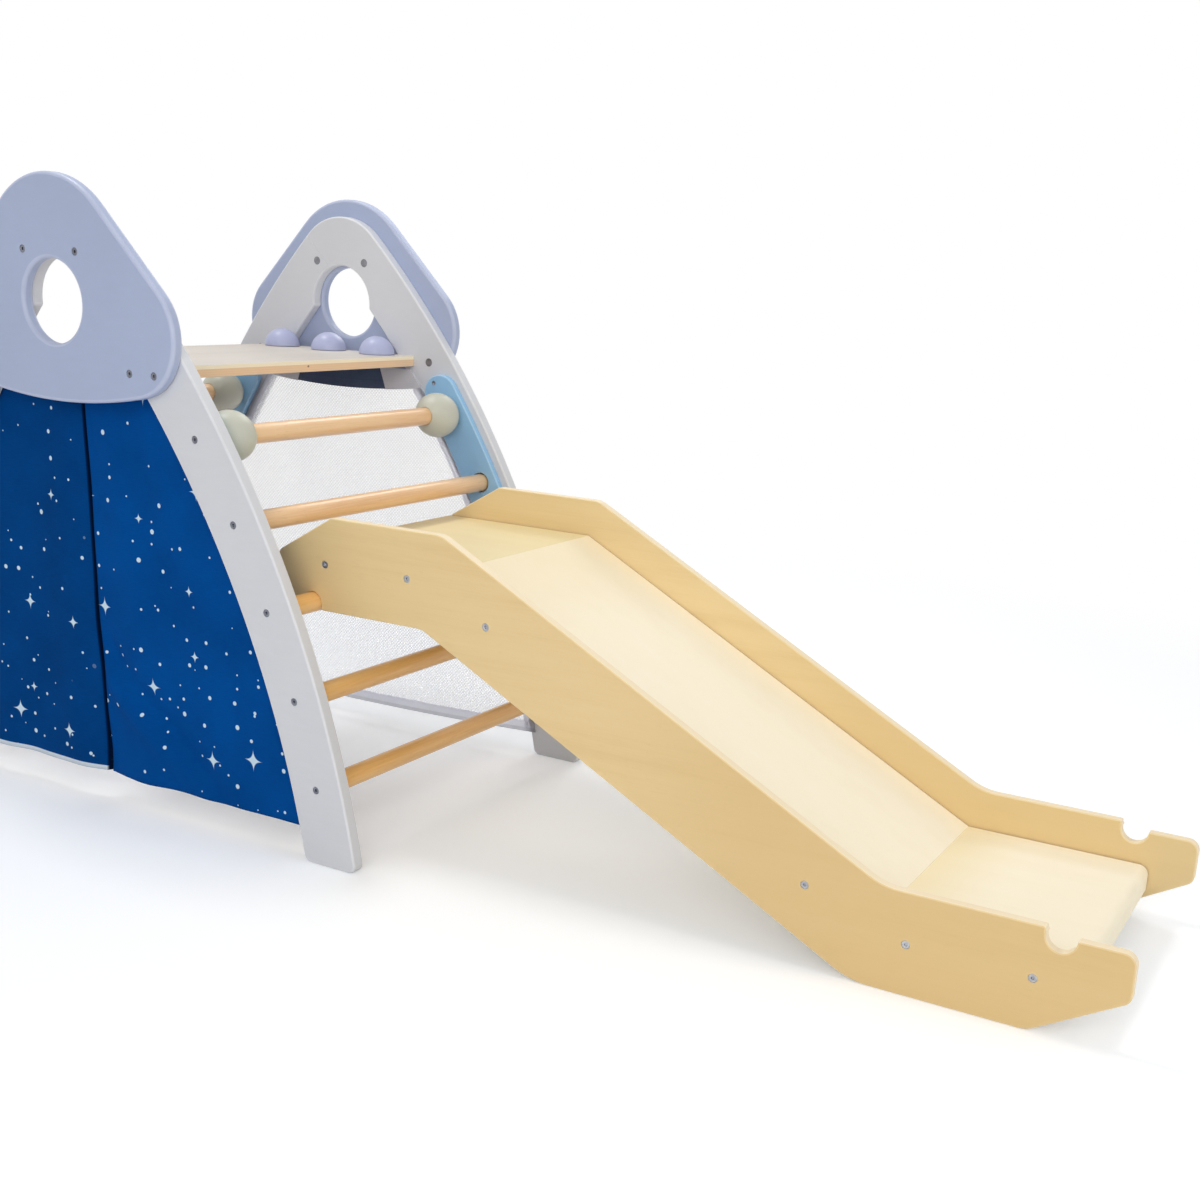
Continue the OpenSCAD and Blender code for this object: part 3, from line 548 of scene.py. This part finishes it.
def ball(name, look):
    low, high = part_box(name)
    centre, radius = (low + high) / 2, (high.x - low.x) / 2
    bore = min(math.hypot(v.co.x - centre.x, v.co.z - centre.z) for v in nodes[name].data.vertices)
    lip = math.degrees(math.asin((bore + look["rim"]) / radius))
    outside = arcPoints((0, 0), radius, -90 + lip, 90 - lip, look["rise"])
    mouth = (high.y - low.y) / 2 - look["rim"] * look["mouth"]
    points = outside + [(bore, mouth), (bore, 0), (bore, -mouth)]
    shape = turned(points, centre, Vector((0, 1, 0)), look["steps"], closed=True)
    piece = newPiece(name + "_turned", shape, [finishes["ball_paint"]])
    stand(piece, "ball_paint", name)


def knob(name, look):
    # a dome with a rounded foot, and a cup on top for its screw
    low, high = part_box(name)
    centre = Vector(((low.x + high.x) / 2, (low.y + high.y) / 2, low.z))
    radius = (high.x - low.x) / 2
    spots = [(math.hypot(v.co.x - centre.x, v.co.y - centre.y), v.co.z - centre.z)
             for v in nodes[name].data.vertices]
    bore = min(reach for reach, _ in spots)
    middle = look["cup"] * radius
    ledge = min(height for reach, height in spots if reach < middle and height > middle)
    cup = max(reach for reach, height in spots if abs(height - ledge) < shaping["merge"])
    foot = look["foot"]
    lip = math.degrees(math.acos((cup + foot * look["lip"]) / radius))
    points = [(bore, 0), (radius * look["base"], 0)]
    points += arcPoints((radius - foot * look["footInset"], foot), foot, -90, 0, look["footSteps"])
    dome = arcPoints((0, 0), radius, 0, lip, look["rise"])
    points += [spot for spot in dome if spot[1] > foot * look["domeStart"]]
    brim = radius * math.sin(math.radians(lip)) - foot * look["lipDrop"]
    points += [(cup, brim), (cup, ledge), (bore, ledge)]
    shape = turned(points, centre, Vector((0, 0, 1)), look["steps"], closed=True)
    piece = newPiece(name + "_turned", shape, [finishes["knob_paint"]])
    stand(piece, "knob_paint", name)


for side in ("left", "right"):
    for step in range(1, 6):
        rung(f"{side}_rung_{step}", rungBar if step < 3 else lowRungBar)
for name in ("near_left_ball", "near_right_ball", "far_left_ball", "far_right_ball"):
    ball(name, rungBall)
for name in ("left_knob", "middle_knob", "right_knob"):
    knob(name, deckKnob)
print("rungs, balls and knobs turned")


# Deck and slide

deckBoard = {"kind": "panel", "edge": 0.0012, "steps": 2}
slideRail = {"kind": "cheek", "edge": 0.0022}
slideBed = {"kind": "panel", "edge": 0.0016, "seam": 0.0004}
flatFace = 0.7  # how squarely a face looks up or aside to count as a board's face
endFace = 0.4  # the same for the bed's rounded end


def upFace(face):
    return 0 if abs(face.normal.z) > flatFace else 1


def bedFace(face):  # the bed's rounded end has the laminate too
    return 0 if abs(face.normal.z) > flatFace or face.normal.x > endFace else 1


def sideFace(face):
    return 0 if abs(face.normal.y) > flatFace else 1


board("deck", deckBoard, edgeFinishes["deck"], upFace)
for name in ("near_rail", "far_rail"):
    board(name, slideRail, edgeFinishes["rail"], sideFace)
for name, partners in (("bed_top", ["bed_slope"]), ("bed_slope", ["bed_top", "bed_foot"]),
                       ("bed_foot", ["bed_slope", "foot_batten"])):
    board(name, slideBed, edgeFinishes["bed"], bedFace, partners)
board("foot_batten", slideBed, partners=["bed_foot"])
print("deck and slide made")


# Bolts and screws

boltHead = {"kind": "heads", "edge": 0.0004, "steps": 2, "smallest": 0.004, "clamp": True}
for name in ("nose_bolts", "deck_bolts", "rung_bolts", "slide_bolts", "knob_screws", "plate_screws"):
    board(name, boltHead)
for name in ("nose_nuts", "deck_barrel_nuts", "slide_barrel_nuts", "rung_inserts"):
    slots = nodes[name].material_slots
    for index in range(len(slots)):
        slots[index].material = finishOf(name)
print("bolts and screws made")


# Curtain

curtain = {
    "low": 0.043, "high": 0.66754, "legRadius": 1.534, "legCentre": (-1.06615, -0.255),
    "plane": 0.2872, "split": 0.008, "thick": 0.0014, "across": 84, "up": 100, "takeUp": (1.02, 1.004),
    "underlap": 0.045, "spare": 0.09, "tuck": 0.016, "tuckShare": 0.2,
    "fold": 0.008, "foldTurns": (800, 40), "foldFade": 0.75, "free": 0.85,
    "wrinkle": 0.0040, "finer": 0.45, "slackEnd": 0.95, "slackRise": 0.6,
    "crease": 0.013, "creaseWidth": 0.034, "creaseTop": 0.31, "creaseSlope": 0.80,
    "creaseEnds": (0.06, 0.75), "creasePeak": 2.2,
    "sways": ((0.0032, 10.0, 0.5), (0.0012, 27.0, 0.0)),  # size, rate and start of each
    "ownSway": (0.0009, 17.0, 1.0),
}
starPrint = {
    # the left flap's tones are a darker copy of the right's: painted shade
    "left": ((0, 70, 138), (0, 58, 118)), "right": ((0, 79, 156), (0, 67, 135)), "specular": 0.03,
    "ink": (214, 236, 248), "loose": 0.85, "rightShift": 0.9,
    # spacing, size, share that is kept, and 1 for stars
    "dots": ((0.046, 0.0029, 0.58, 0), (0.040, 0.0016, 0.36, 0), (0.105, 0.0140, 0.50, 1)),
    "hem": 0.008, "hemBlur": 0.0006, "hemShade": (216, 226, 236),
    "shadow": (0, 16, 44), "shadowEdges": ((0.0030, 0.0055), (-0.010, -0.007)),
    "cloud": 9, "slub": (60, 900, 1), "weave": 0.0011,
    "seam": 0.017, "seamEdge": (0.0004, 0.0012), "stitch": 0.0045, "bump": (0.35, 0.0005),
}


def clothX(z):  # half width of the den at a height
    centreX, centreZ = curtain["legCentre"]
    return centreX + math.sqrt(curtain["legRadius"] ** 2 - (z - centreZ) ** 2)


def clothFinish(name, side, look, hemmed=False):
    finish, shader, place = newFinish(name, {"Specular IOR Level": look["specular"]}, "UV")
    shade, deep = [colour(*tone) for tone in look[side]]
    u, v, _ = place.axes()
    weave = u.waves(look["weave"]) * v.waves(look["weave"])
    cloud = place.noise(look["cloud"], 4)
    slub = place.stretched(look["slub"]).noise(1.0, 2)
    base = (cloud * 0.6 + slub * 0.4).soft(0.25, 0.75).mix(deep, shade)
    ink = None
    for cell, size, keep, star in look["dots"]:
        spot = place.node("TexVoronoi", {"Vector": place, "Scale": 1 / cell, "Randomness": look["loose"]},
                          out=2, voronoi_dimensions="2D")
        chance = Wire(spot.socket.node.outputs[1]).axes()
        dx, dy, _ = place.node("VectorMath", {0: place, 1: spot}, operation="SUBTRACT").axes()
        if star:  # a four-point sparkle
            gap = (abs(dx) ** 0.5 + abs(dy) ** 0.5) ** 2.0
        else:
            gap = (dx * dx + dy * dy) ** 0.5
        reach = size * (0.6 + 0.8 * chance[1])
        mark = (1 - (gap / reach).soft(0.8, 1.1)) * chance[0].soft(1 - keep, 1.02 - keep)
        ink = mark if ink is None else ink.top(mark)
    base = (ink * 0.92).mix(base, colour(*look["ink"]))
    if hemmed:
        foot = 1 - v.soft(look["hem"] - look["hemBlur"], look["hem"])
        base = foot.mix(base, colour(*look["hemShade"]))
        inner, outer = look["shadowEdges"]
        behind = (1 - u.soft(*inner)) * u.soft(*outer)  # deep in the split
        base = behind.mix(base, colour(*look["shadow"]))
    seam = 1 - abs(v - look["seam"]).soft(*look["seamEdge"])
    stitch = seam * u.waves(look["stitch"]).soft(-0.2, 0.2)
    feed(shader, base=(stitch * 0.35).mix(base, deep), roughness=0.72 + 0.14 * slub,
         normal=(weave * 0.5 + cloud * 0.6 - stitch * 1.2).bump(*look["bump"]))
    return finish


def freeShare(u, look):  # 1 at the split, 0 where the leg holds the cloth
    return min(1.0, max(0.0, 1 - u / look["free"]))


def clothLift(u, v, side, turn, reach, look):  # how far inwards a point of a flap hangs
    free, rows = freeShare(u, look), look["high"] - look["low"]
    across, up = look["foldTurns"]
    lift = (look["fold"] * free * (1 - look["foldFade"] * v)
            * math.cos(math.radians(turn + across * u - up * v)))
    held = math.sin(math.pi * min(1.0, u / look["slackEnd"])) * (1 - v) ** look["slackRise"]
    slack = held + free * (1 - v)
    # two sizes of ruffle, and each flap has its own place in the noise
    ruffle = noise.noise(Vector((u * 3.2 + side * 7, v * 2.2 + u * 1.5, side * 3.1)))
    finer = noise.noise(Vector((u * 8.0 - v * 3 + side, v * 4.0, side * 9.7)))
    lift += look["wrinkle"] * slack * (ruffle + look["finer"] * finer)
    if u < 0:
        lift += look["tuck"] * math.sin(math.pi / 2 * min(1.0, -u / (look["tuckShare"] * look["spare"])))
    if side > 0:  # a slack fold from the split towards the lower corner
        gap = ((v - look["creaseTop"]) * rows + (u * reach) * look["creaseSlope"]) / look["creaseWidth"]
        start, end = look["creaseEnds"]
        fade = max(0.0, 1 - u / end) * min(1.0, u / start)
        lift += look["crease"] * fade * gap * math.exp(-gap * gap) * look["creasePeak"]
    return lift


def clothSway(u, v, side, look):  # how the free edge wanders sideways
    free = freeShare(u, look) ** 3
    size, rate, start = look["ownSway"]
    sway = sum(s * free * math.sin(r * v + a) for s, r, a in look["sways"])
    return (sway + side * size * free * math.sin(rate * v + start)) * (1 - v)


def flap(name, side, turn, look, finish):
    shape = bmesh.new()
    uvName = shape.loops.layers.uv.new("flat")
    bmesh.ops.create_grid(shape, x_segments=look["across"], y_segments=look["up"], size=0.5)
    flatOf, rows, inner = {}, look["high"] - look["low"], look["split"] / 2
    spare = look["spare"] if side < 0 else 0.0  # the left flap runs on behind the right one
    for vert in shape.verts:
        u, v = (vert.co.x + 0.5) * (1 + spare) - spare, vert.co.y + 0.5
        z = look["low"] + v * rows
        reach = clothX(z) - inner
        lift = clothLift(u, v, side, turn, reach, look)
        away = inner + (u * reach if u > 0 else u / look["spare"] * look["underlap"])
        vert.co = (midX + side * away + clothSway(u, v, side, look), -(look["plane"] - lift), z)
        flatOf[vert] = (away, v * rows)
    for face in shape.faces:
        for loop in face.loops:
            across, up = flatOf[loop.vert]
            loop[uvName].uv = (across + (starPrint["rightShift"] if side > 0 else 0.0), up)
    bmesh.ops.recalc_face_normals(shape, faces=shape.faces)
    area = sum(face.calc_area() for face in shape.faces)
    piece = newPiece(name, shape, [finish], sharpAt=180)
    wall = piece.modifiers.new("clothWall", "SOLIDIFY")
    wall.thickness, wall.offset = look["thick"], 0.0
    stand(piece, "navy_cloth", name.replace("_cloth", ""))
    hidden = look["underlap"] if side < 0 else 0.0
    width, length = look["takeUp"]
    return piece, area, ((clothX(look["low"]) + hidden) * width, rows * length)


starCloth = clothFinish("starCloth", "right", starPrint)
hemmedCloth = clothFinish("hemmedStarCloth", "left", starPrint, hemmed=True)
leftFlap, leftArea, leftFlat = flap("curtain_left_flap_cloth", -1, 60, curtain, hemmedCloth)
rightFlap, rightArea, rightFlat = flap("curtain_right_flap_cloth", 1, 20, curtain, starCloth)
print("curtain hung:", round(leftArea, 3), round(rightArea, 3), "square metres")


# Net with its hem and header

backNet = {
    "cell": 0.0046, "bar": 0.0011, "spread": 1.12, "tuck": 0.008, "plane": 0.2872, "sag": 0.012,
    "billow": 0.004, "billowRise": 0.4, "netLow": 0.063, "low": 0.043, "headerLow": 0.63754,
    "hem": 0.020, "sideThick": 0.0020, "footThick": 0.0026, "patch": 0.078, "patchThick": 0.0034,
    "patchDrop": 0.001, "header": 0.99, "headerWidth": 0.03, "trimSteps": 56, "trimRows": 6,
    "measureSteps": 40,
}
netWeaves = {
    "net": {"tones": ((254, 254, 255), (244, 244, 248)), "pitch": 0.0009, "through": 0.6},
    "hem": {"tones": ((246, 246, 250), (228, 228, 236)), "pitch": 0.0016, "through": 0.7,
            "stitches": 0.005, "border": (0.007, (216, 216, 220))},
    "header": {"tones": ((92, 104, 132), (72, 83, 108)), "pitch": 0.0013, "stitches": 0.005},
    "patch": {"tones": ((226, 224, 228), (206, 204, 210)), "pitch": 0.0016, "stitches": 0.005},
}
weaving = {
    "specular": 0.15, "density": 1.2, "cloud": 14, "borderBlur": 0.0005, "stitchLine": 0.36,
    "stitchEdge": (0.0004, 0.0011), "bump": (0.4, 0.0006),
}


def netBulge(x, z):  # slack between the hems, a little uneven
    half = clothX(z) - backNet["hem"]
    across = max(0.0, 1 - (x / half) ** 2)
    up = max(0.0, min(1.0, (backNet["headerLow"] - z) / backNet["billowRise"]))
    return backNet["billow"] * across * up * (0.6 + 0.4 * noise.noise(Vector((x * 3, z * 3, 5.0))))


def netSag(x, z):
    return -backNet["sag"] * max(0.0, 1 - (x / clothX(z)) ** 2)


def weaveFinish(name, tones, pitch, stitches=0.0, width=0.0, through=0.0, border=None):
    finish, shader, place = newFinish(name, {
        "Specular IOR Level": weaving["specular"],
        "Transmission Weight": through, "IOR": weaving["density"]}, "UV")
    shade, deep = [colour(*tone) for tone in tones]
    u, v, _ = place.axes()
    weave = u.waves(pitch) * v.waves(pitch)
    cloud = place.noise(weaving["cloud"], 3)
    base = (cloud * 0.6 + weave * 0.2 + 0.2).soft(0.2, 0.8).mix(deep, shade)
    height = weave * 0.6 + cloud * 0.3
    if border:  # a second tone along the outer edge
        start, blur = width - border[0], weaving["borderBlur"]
        base = v.soft(start - blur, start + blur).mix(base, colour(*border[1]))
    if stitches:
        middle = abs(abs(v - width / 2) - width * weaving["stitchLine"])
        row = (1 - middle.soft(*weaving["stitchEdge"])) * u.waves(stitches).soft(-0.3, 0.1)
        base = (row * 0.6).mix(base, deep)
        height = height - row * 1.5
    feed(shader, base=base, roughness=0.74 + 0.12 * cloud, normal=height.bump(*weaving["bump"]))
    return finish


def knittedMesh(name, look, finish):
    # a lattice on the slant with a hole in each cell
    shape = bmesh.new()
    uvName = shape.loops.layers.uv.new("flat")
    count = int(look["spread"] / look["cell"])
    bmesh.ops.create_grid(shape, x_segments=count, y_segments=count, size=0.5 * count * look["cell"],
                          matrix=Matrix.Rotation(math.pi / 4, 4, "Z"))
    low, high = look["netLow"] - look["tuck"], look["headerLow"] + look["tuck"]
    centreZ = (low + high) / 2
    for vert in shape.verts:
        vert.co = (vert.co.x, 0, vert.co.y + centreZ)

    def outside(face):
        spot = face.calc_center_median()
        if not low < spot.z < high:
            return True
        return abs(spot.x) > clothX(spot.z) - look["hem"] + look["tuck"]

    bmesh.ops.delete(shape, geom=[face for face in shape.faces if outside(face)], context="FACES")
    area = sum(face.calc_area() for face in shape.faces)
    cells = list(shape.faces)
    bmesh.ops.inset_individual(shape, faces=cells, thickness=look["bar"], use_even_offset=True)
    bmesh.ops.delete(shape, geom=cells, context="FACES")
    for face in shape.faces:
        for loop in face.loops:
            loop[uvName].uv = (loop.vert.co.x, loop.vert.co.z)
    for vert in shape.verts:
        x, z = vert.co.x, vert.co.z
        vert.co = (midX + x, look["plane"] + netBulge(x, z), z + netSag(x, z))
    piece = newPiece(name, shape, [finish], sharpAt=180)
    stand(piece, "white_net", "back_net")
    return piece, area


def band(shape, inner, outer, thick, uvName):
    # a strip of tape between two lines, each given as a function of 0 to 1
    made = bmesh.ops.create_grid(shape, x_segments=backNet["trimSteps"], y_segments=backNet["trimRows"],
                                 size=0.5)
    faces = list({face for vert in made["verts"] for face in vert.link_faces})
    steps = backNet["measureSteps"]
    spots = [Vector(outer(i / steps)) for i in range(steps + 1)]
    length = sum((end - start).length for start, end in zip(spots, spots[1:]))
    flat = {}
    for vert in made["verts"]:
        s, t = vert.co.x + 0.5, vert.co.y + 0.5
        start, end = Vector(inner(s)), Vector(outer(s))
        flat[vert] = (s * length, t * (end - start).length)
        vert.co = start.lerp(end, t) + Vector((0, thick / 2, 0))
    for face in faces:
        for loop in face.loops:
            loop[uvName].uv = flat[loop.vert]
    bmesh.ops.recalc_face_normals(shape, faces=faces)
    if sum(face.normal.y for face in faces) < 0:
        bmesh.ops.reverse_faces(shape, faces=faces)
    bmesh.ops.solidify(shape, geom=faces, thickness=thick)


def sideLine(sign, inset, low, high):
    def line(s):
        z = low + s * (high - low)
        return midX + sign * (clothX(z) - inset), backNet["plane"], z
    return line


def levelLine(z, start=-1.0, end=1.0, sags=True):
    half = clothX(z)

    def line(s):
        x = half * (start + (end - start) * s)
        return midX + x, backNet["plane"], z + (netSag(x, z) if sags else 0.0)
    return line


def trim(name, bands, finish, slotName, node=None):
    shape = bmesh.new()
    uvName = shape.loops.layers.uv.new("flat")
    for inner, outer, thick in bands:
        band(shape, inner, outer, thick, uvName)
    piece = newPiece(name, shape, [finish], sharpAt=60)
    if node:
        stand(piece, slotName, node)
    else:
        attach(piece, "frame")
    return piece


def netTrim(look):
    low, high, top = look["low"], curtain["high"], look["headerLow"]
    tape = weaveFinish("hemTape", width=look["hem"], **netWeaves["hem"])
    sides = [(sideLine(sign, look["hem"], low, top), sideLine(sign, 0, low, top), look["sideThick"])
             for sign in (-1, 1)]
    foot = (levelLine(low + look["hem"]), levelLine(low), look["footThick"])
    hem = trim("net_hem_tape", sides + [foot], tape, "grey_tape", "net_hem")
    navy = weaveFinish("headerCloth", width=look["headerWidth"], **netWeaves["header"])
    end = look["header"]
    strip = (levelLine(high, -end, end, False), levelLine(top, -end, end), look["sideThick"])
    header = trim("net_header_cloth", [strip], navy, "navy_cloth", "net_header")
    share = 1 - look["patch"] / clothX(top)
    pale = weaveFinish("patchTape", width=look["headerWidth"], **netWeaves["patch"])
    patchLow = top - look["patchDrop"]
    ends = [(levelLine(high, a, b, False), levelLine(patchLow, a, b), look["patchThick"])
            for a, b in ((-1.0, -share), (share, 1.0))]
    patches = trim("net_corner_patches", ends, pale, "grey_tape")
    return hem, header, patches


netFinish = weaveFinish("knittedNet", **netWeaves["net"])
netSheet, netArea = knittedMesh("back_net_mesh", backNet, netFinish)
netHem, netHeader, netPatches = netTrim(backNet)

tapeStrip = {
    "kind": "strip", "edge": 0.0004, "steps": 2, "smallest": 0.02, "loops": 1400, "bump": (0.6, 0.0006),
}
for name, shade, deep in (("curtain_tapes", (40, 58, 92), (24, 38, 66)),
                          ("net_tapes", (226, 226, 230), (200, 200, 208))):
    finish, shader, place = newFinish(name.replace("_tapes", "Tape"), {"Specular IOR Level": 0.2})
    loops = place.noise(tapeStrip["loops"], 2)
    feed(shader, base=loops.soft(0.3, 0.7).mix(colour(*deep), colour(*shade)),
         roughness=0.8 + 0.1 * loops, normal=loops.bump(*tapeStrip["bump"]))
    finishes[name] = finish
    board(name, tapeStrip)

min(leftArea, leftFlat[0] * leftFlat[1])
min(rightArea, rightFlat[0] * rightFlat[1])
netFlat = (2 * clothX(backNet["netLow"]), backNet["headerLow"] - backNet["netLow"] + 2 * backNet["tuck"])
print("net hung:", round(netArea, 3), "square metres")


# Floor, light and background

studio = {
    "sky": 0.52, "floorSize": 14.0, "floorShade": (0.875, 0.885, 0.90, 1.0), "floorDeep": 0.985,
    "floorGrain": 60, "floorLift": 0.235, "liftShade": (0.94, 0.97, 1.0, 1.0), "clear": (1.3, 2.5),
    "white": (1, 1, 1, 1),
}
lamps = {
    "overheadLamp": {"place": (-1.4, -0.1, 3.3), "aim": (0.0, 0.0, 0.4), "size": 0.6, "power": 29},
    "frontLamp": {"place": (1.6, -3.4, 2.0), "aim": (0.0, 0.0, 0.4), "size": 2.2, "power": 47},
    "slideLamp": {"place": (2.8, -0.2, 1.7), "aim": (-0.5, 0.1, 0.4), "size": 2.0, "power": 14},
    "backLamp": {"place": (-0.7, 2.3, 2.35), "aim": (-0.4, 0.0, 0.45), "size": 0.9, "power": 15},
}


def seenRays(wire):  # 1 for what the camera sees, also in gloss and through clear things
    ray = wire.node("LightPath", {}).socket.node.outputs
    return Wire(ray["Is Camera Ray"]).top(Wire(ray["Is Glossy Ray"])).top(Wire(ray["Is Transmission Ray"]))


def makeWorld(look):
    world = bpy.data.worlds.new("studioWorld")
    bpy.context.scene.world = world
    world.use_nodes = True
    back = world.node_tree.nodes["Background"]
    back.inputs["Color"].default_value = look["white"]
    seen = seenRays(Wire(back.inputs["Strength"]))
    strength = look["sky"] + seen * (1 - look["sky"])
    world.node_tree.links.new(strength.socket, back.inputs["Strength"])


def makeFloor(look):
    # a pale floor that keeps the shadow near the object and turns white further out
    shape = bmesh.new()
    bmesh.ops.create_grid(shape, x_segments=8, y_segments=8, size=look["floorSize"])
    finish, shader, place = newFinish("paleFloor", {"Specular IOR Level": 0.1, "Roughness": 0.8})
    tree = finish.node_tree
    shade = look["floorShade"]
    feed(shader, base=place.noise(look["floorGrain"], 3).mix(deeper(shade, look["floorDeep"]), shade))
    x, y, _ = place.axes()
    far = ((x * x + y * y) ** 0.5).soft(*look["clear"])
    seen = seenRays(place)
    lift = place.node("Emission", {"Color": look["liftShade"], "Strength": seen * look["floorLift"]})
    white = place.node("Emission", {"Color": look["white"], "Strength": seen})
    lit = place.node("AddShader", {0: Wire(shader.outputs[0]), 1: lift})
    whole = place.node("MixShader", {0: far * seen, 1: lit, 2: white})
    tree.links.new(whole.socket, tree.nodes["Material Output"].inputs["Surface"])
    floor = newPiece("studio_floor", shape, [finish], sharpAt=180)


def makeLamp(name, look):
    data = bpy.data.lights.new(name, "AREA")
    data.shape = "SQUARE"
    data.size, data.energy = look["size"], look["power"]
    lamp = bpy.data.objects.new(name, data)
    bpy.context.scene.collection.objects.link(lamp)
    turn = (Vector(look["aim"]) - Vector(look["place"])).to_track_quat("-Z", "Y")
    lamp.matrix_world = Matrix.Translation(look["place"]) @ turn.to_matrix().to_4x4()


makeWorld(studio)
makeFloor(studio)
for name, look in lamps.items():
    makeLamp(name, look)
bpy.context.scene.view_settings.view_transform = "Standard"
print("studio lit")
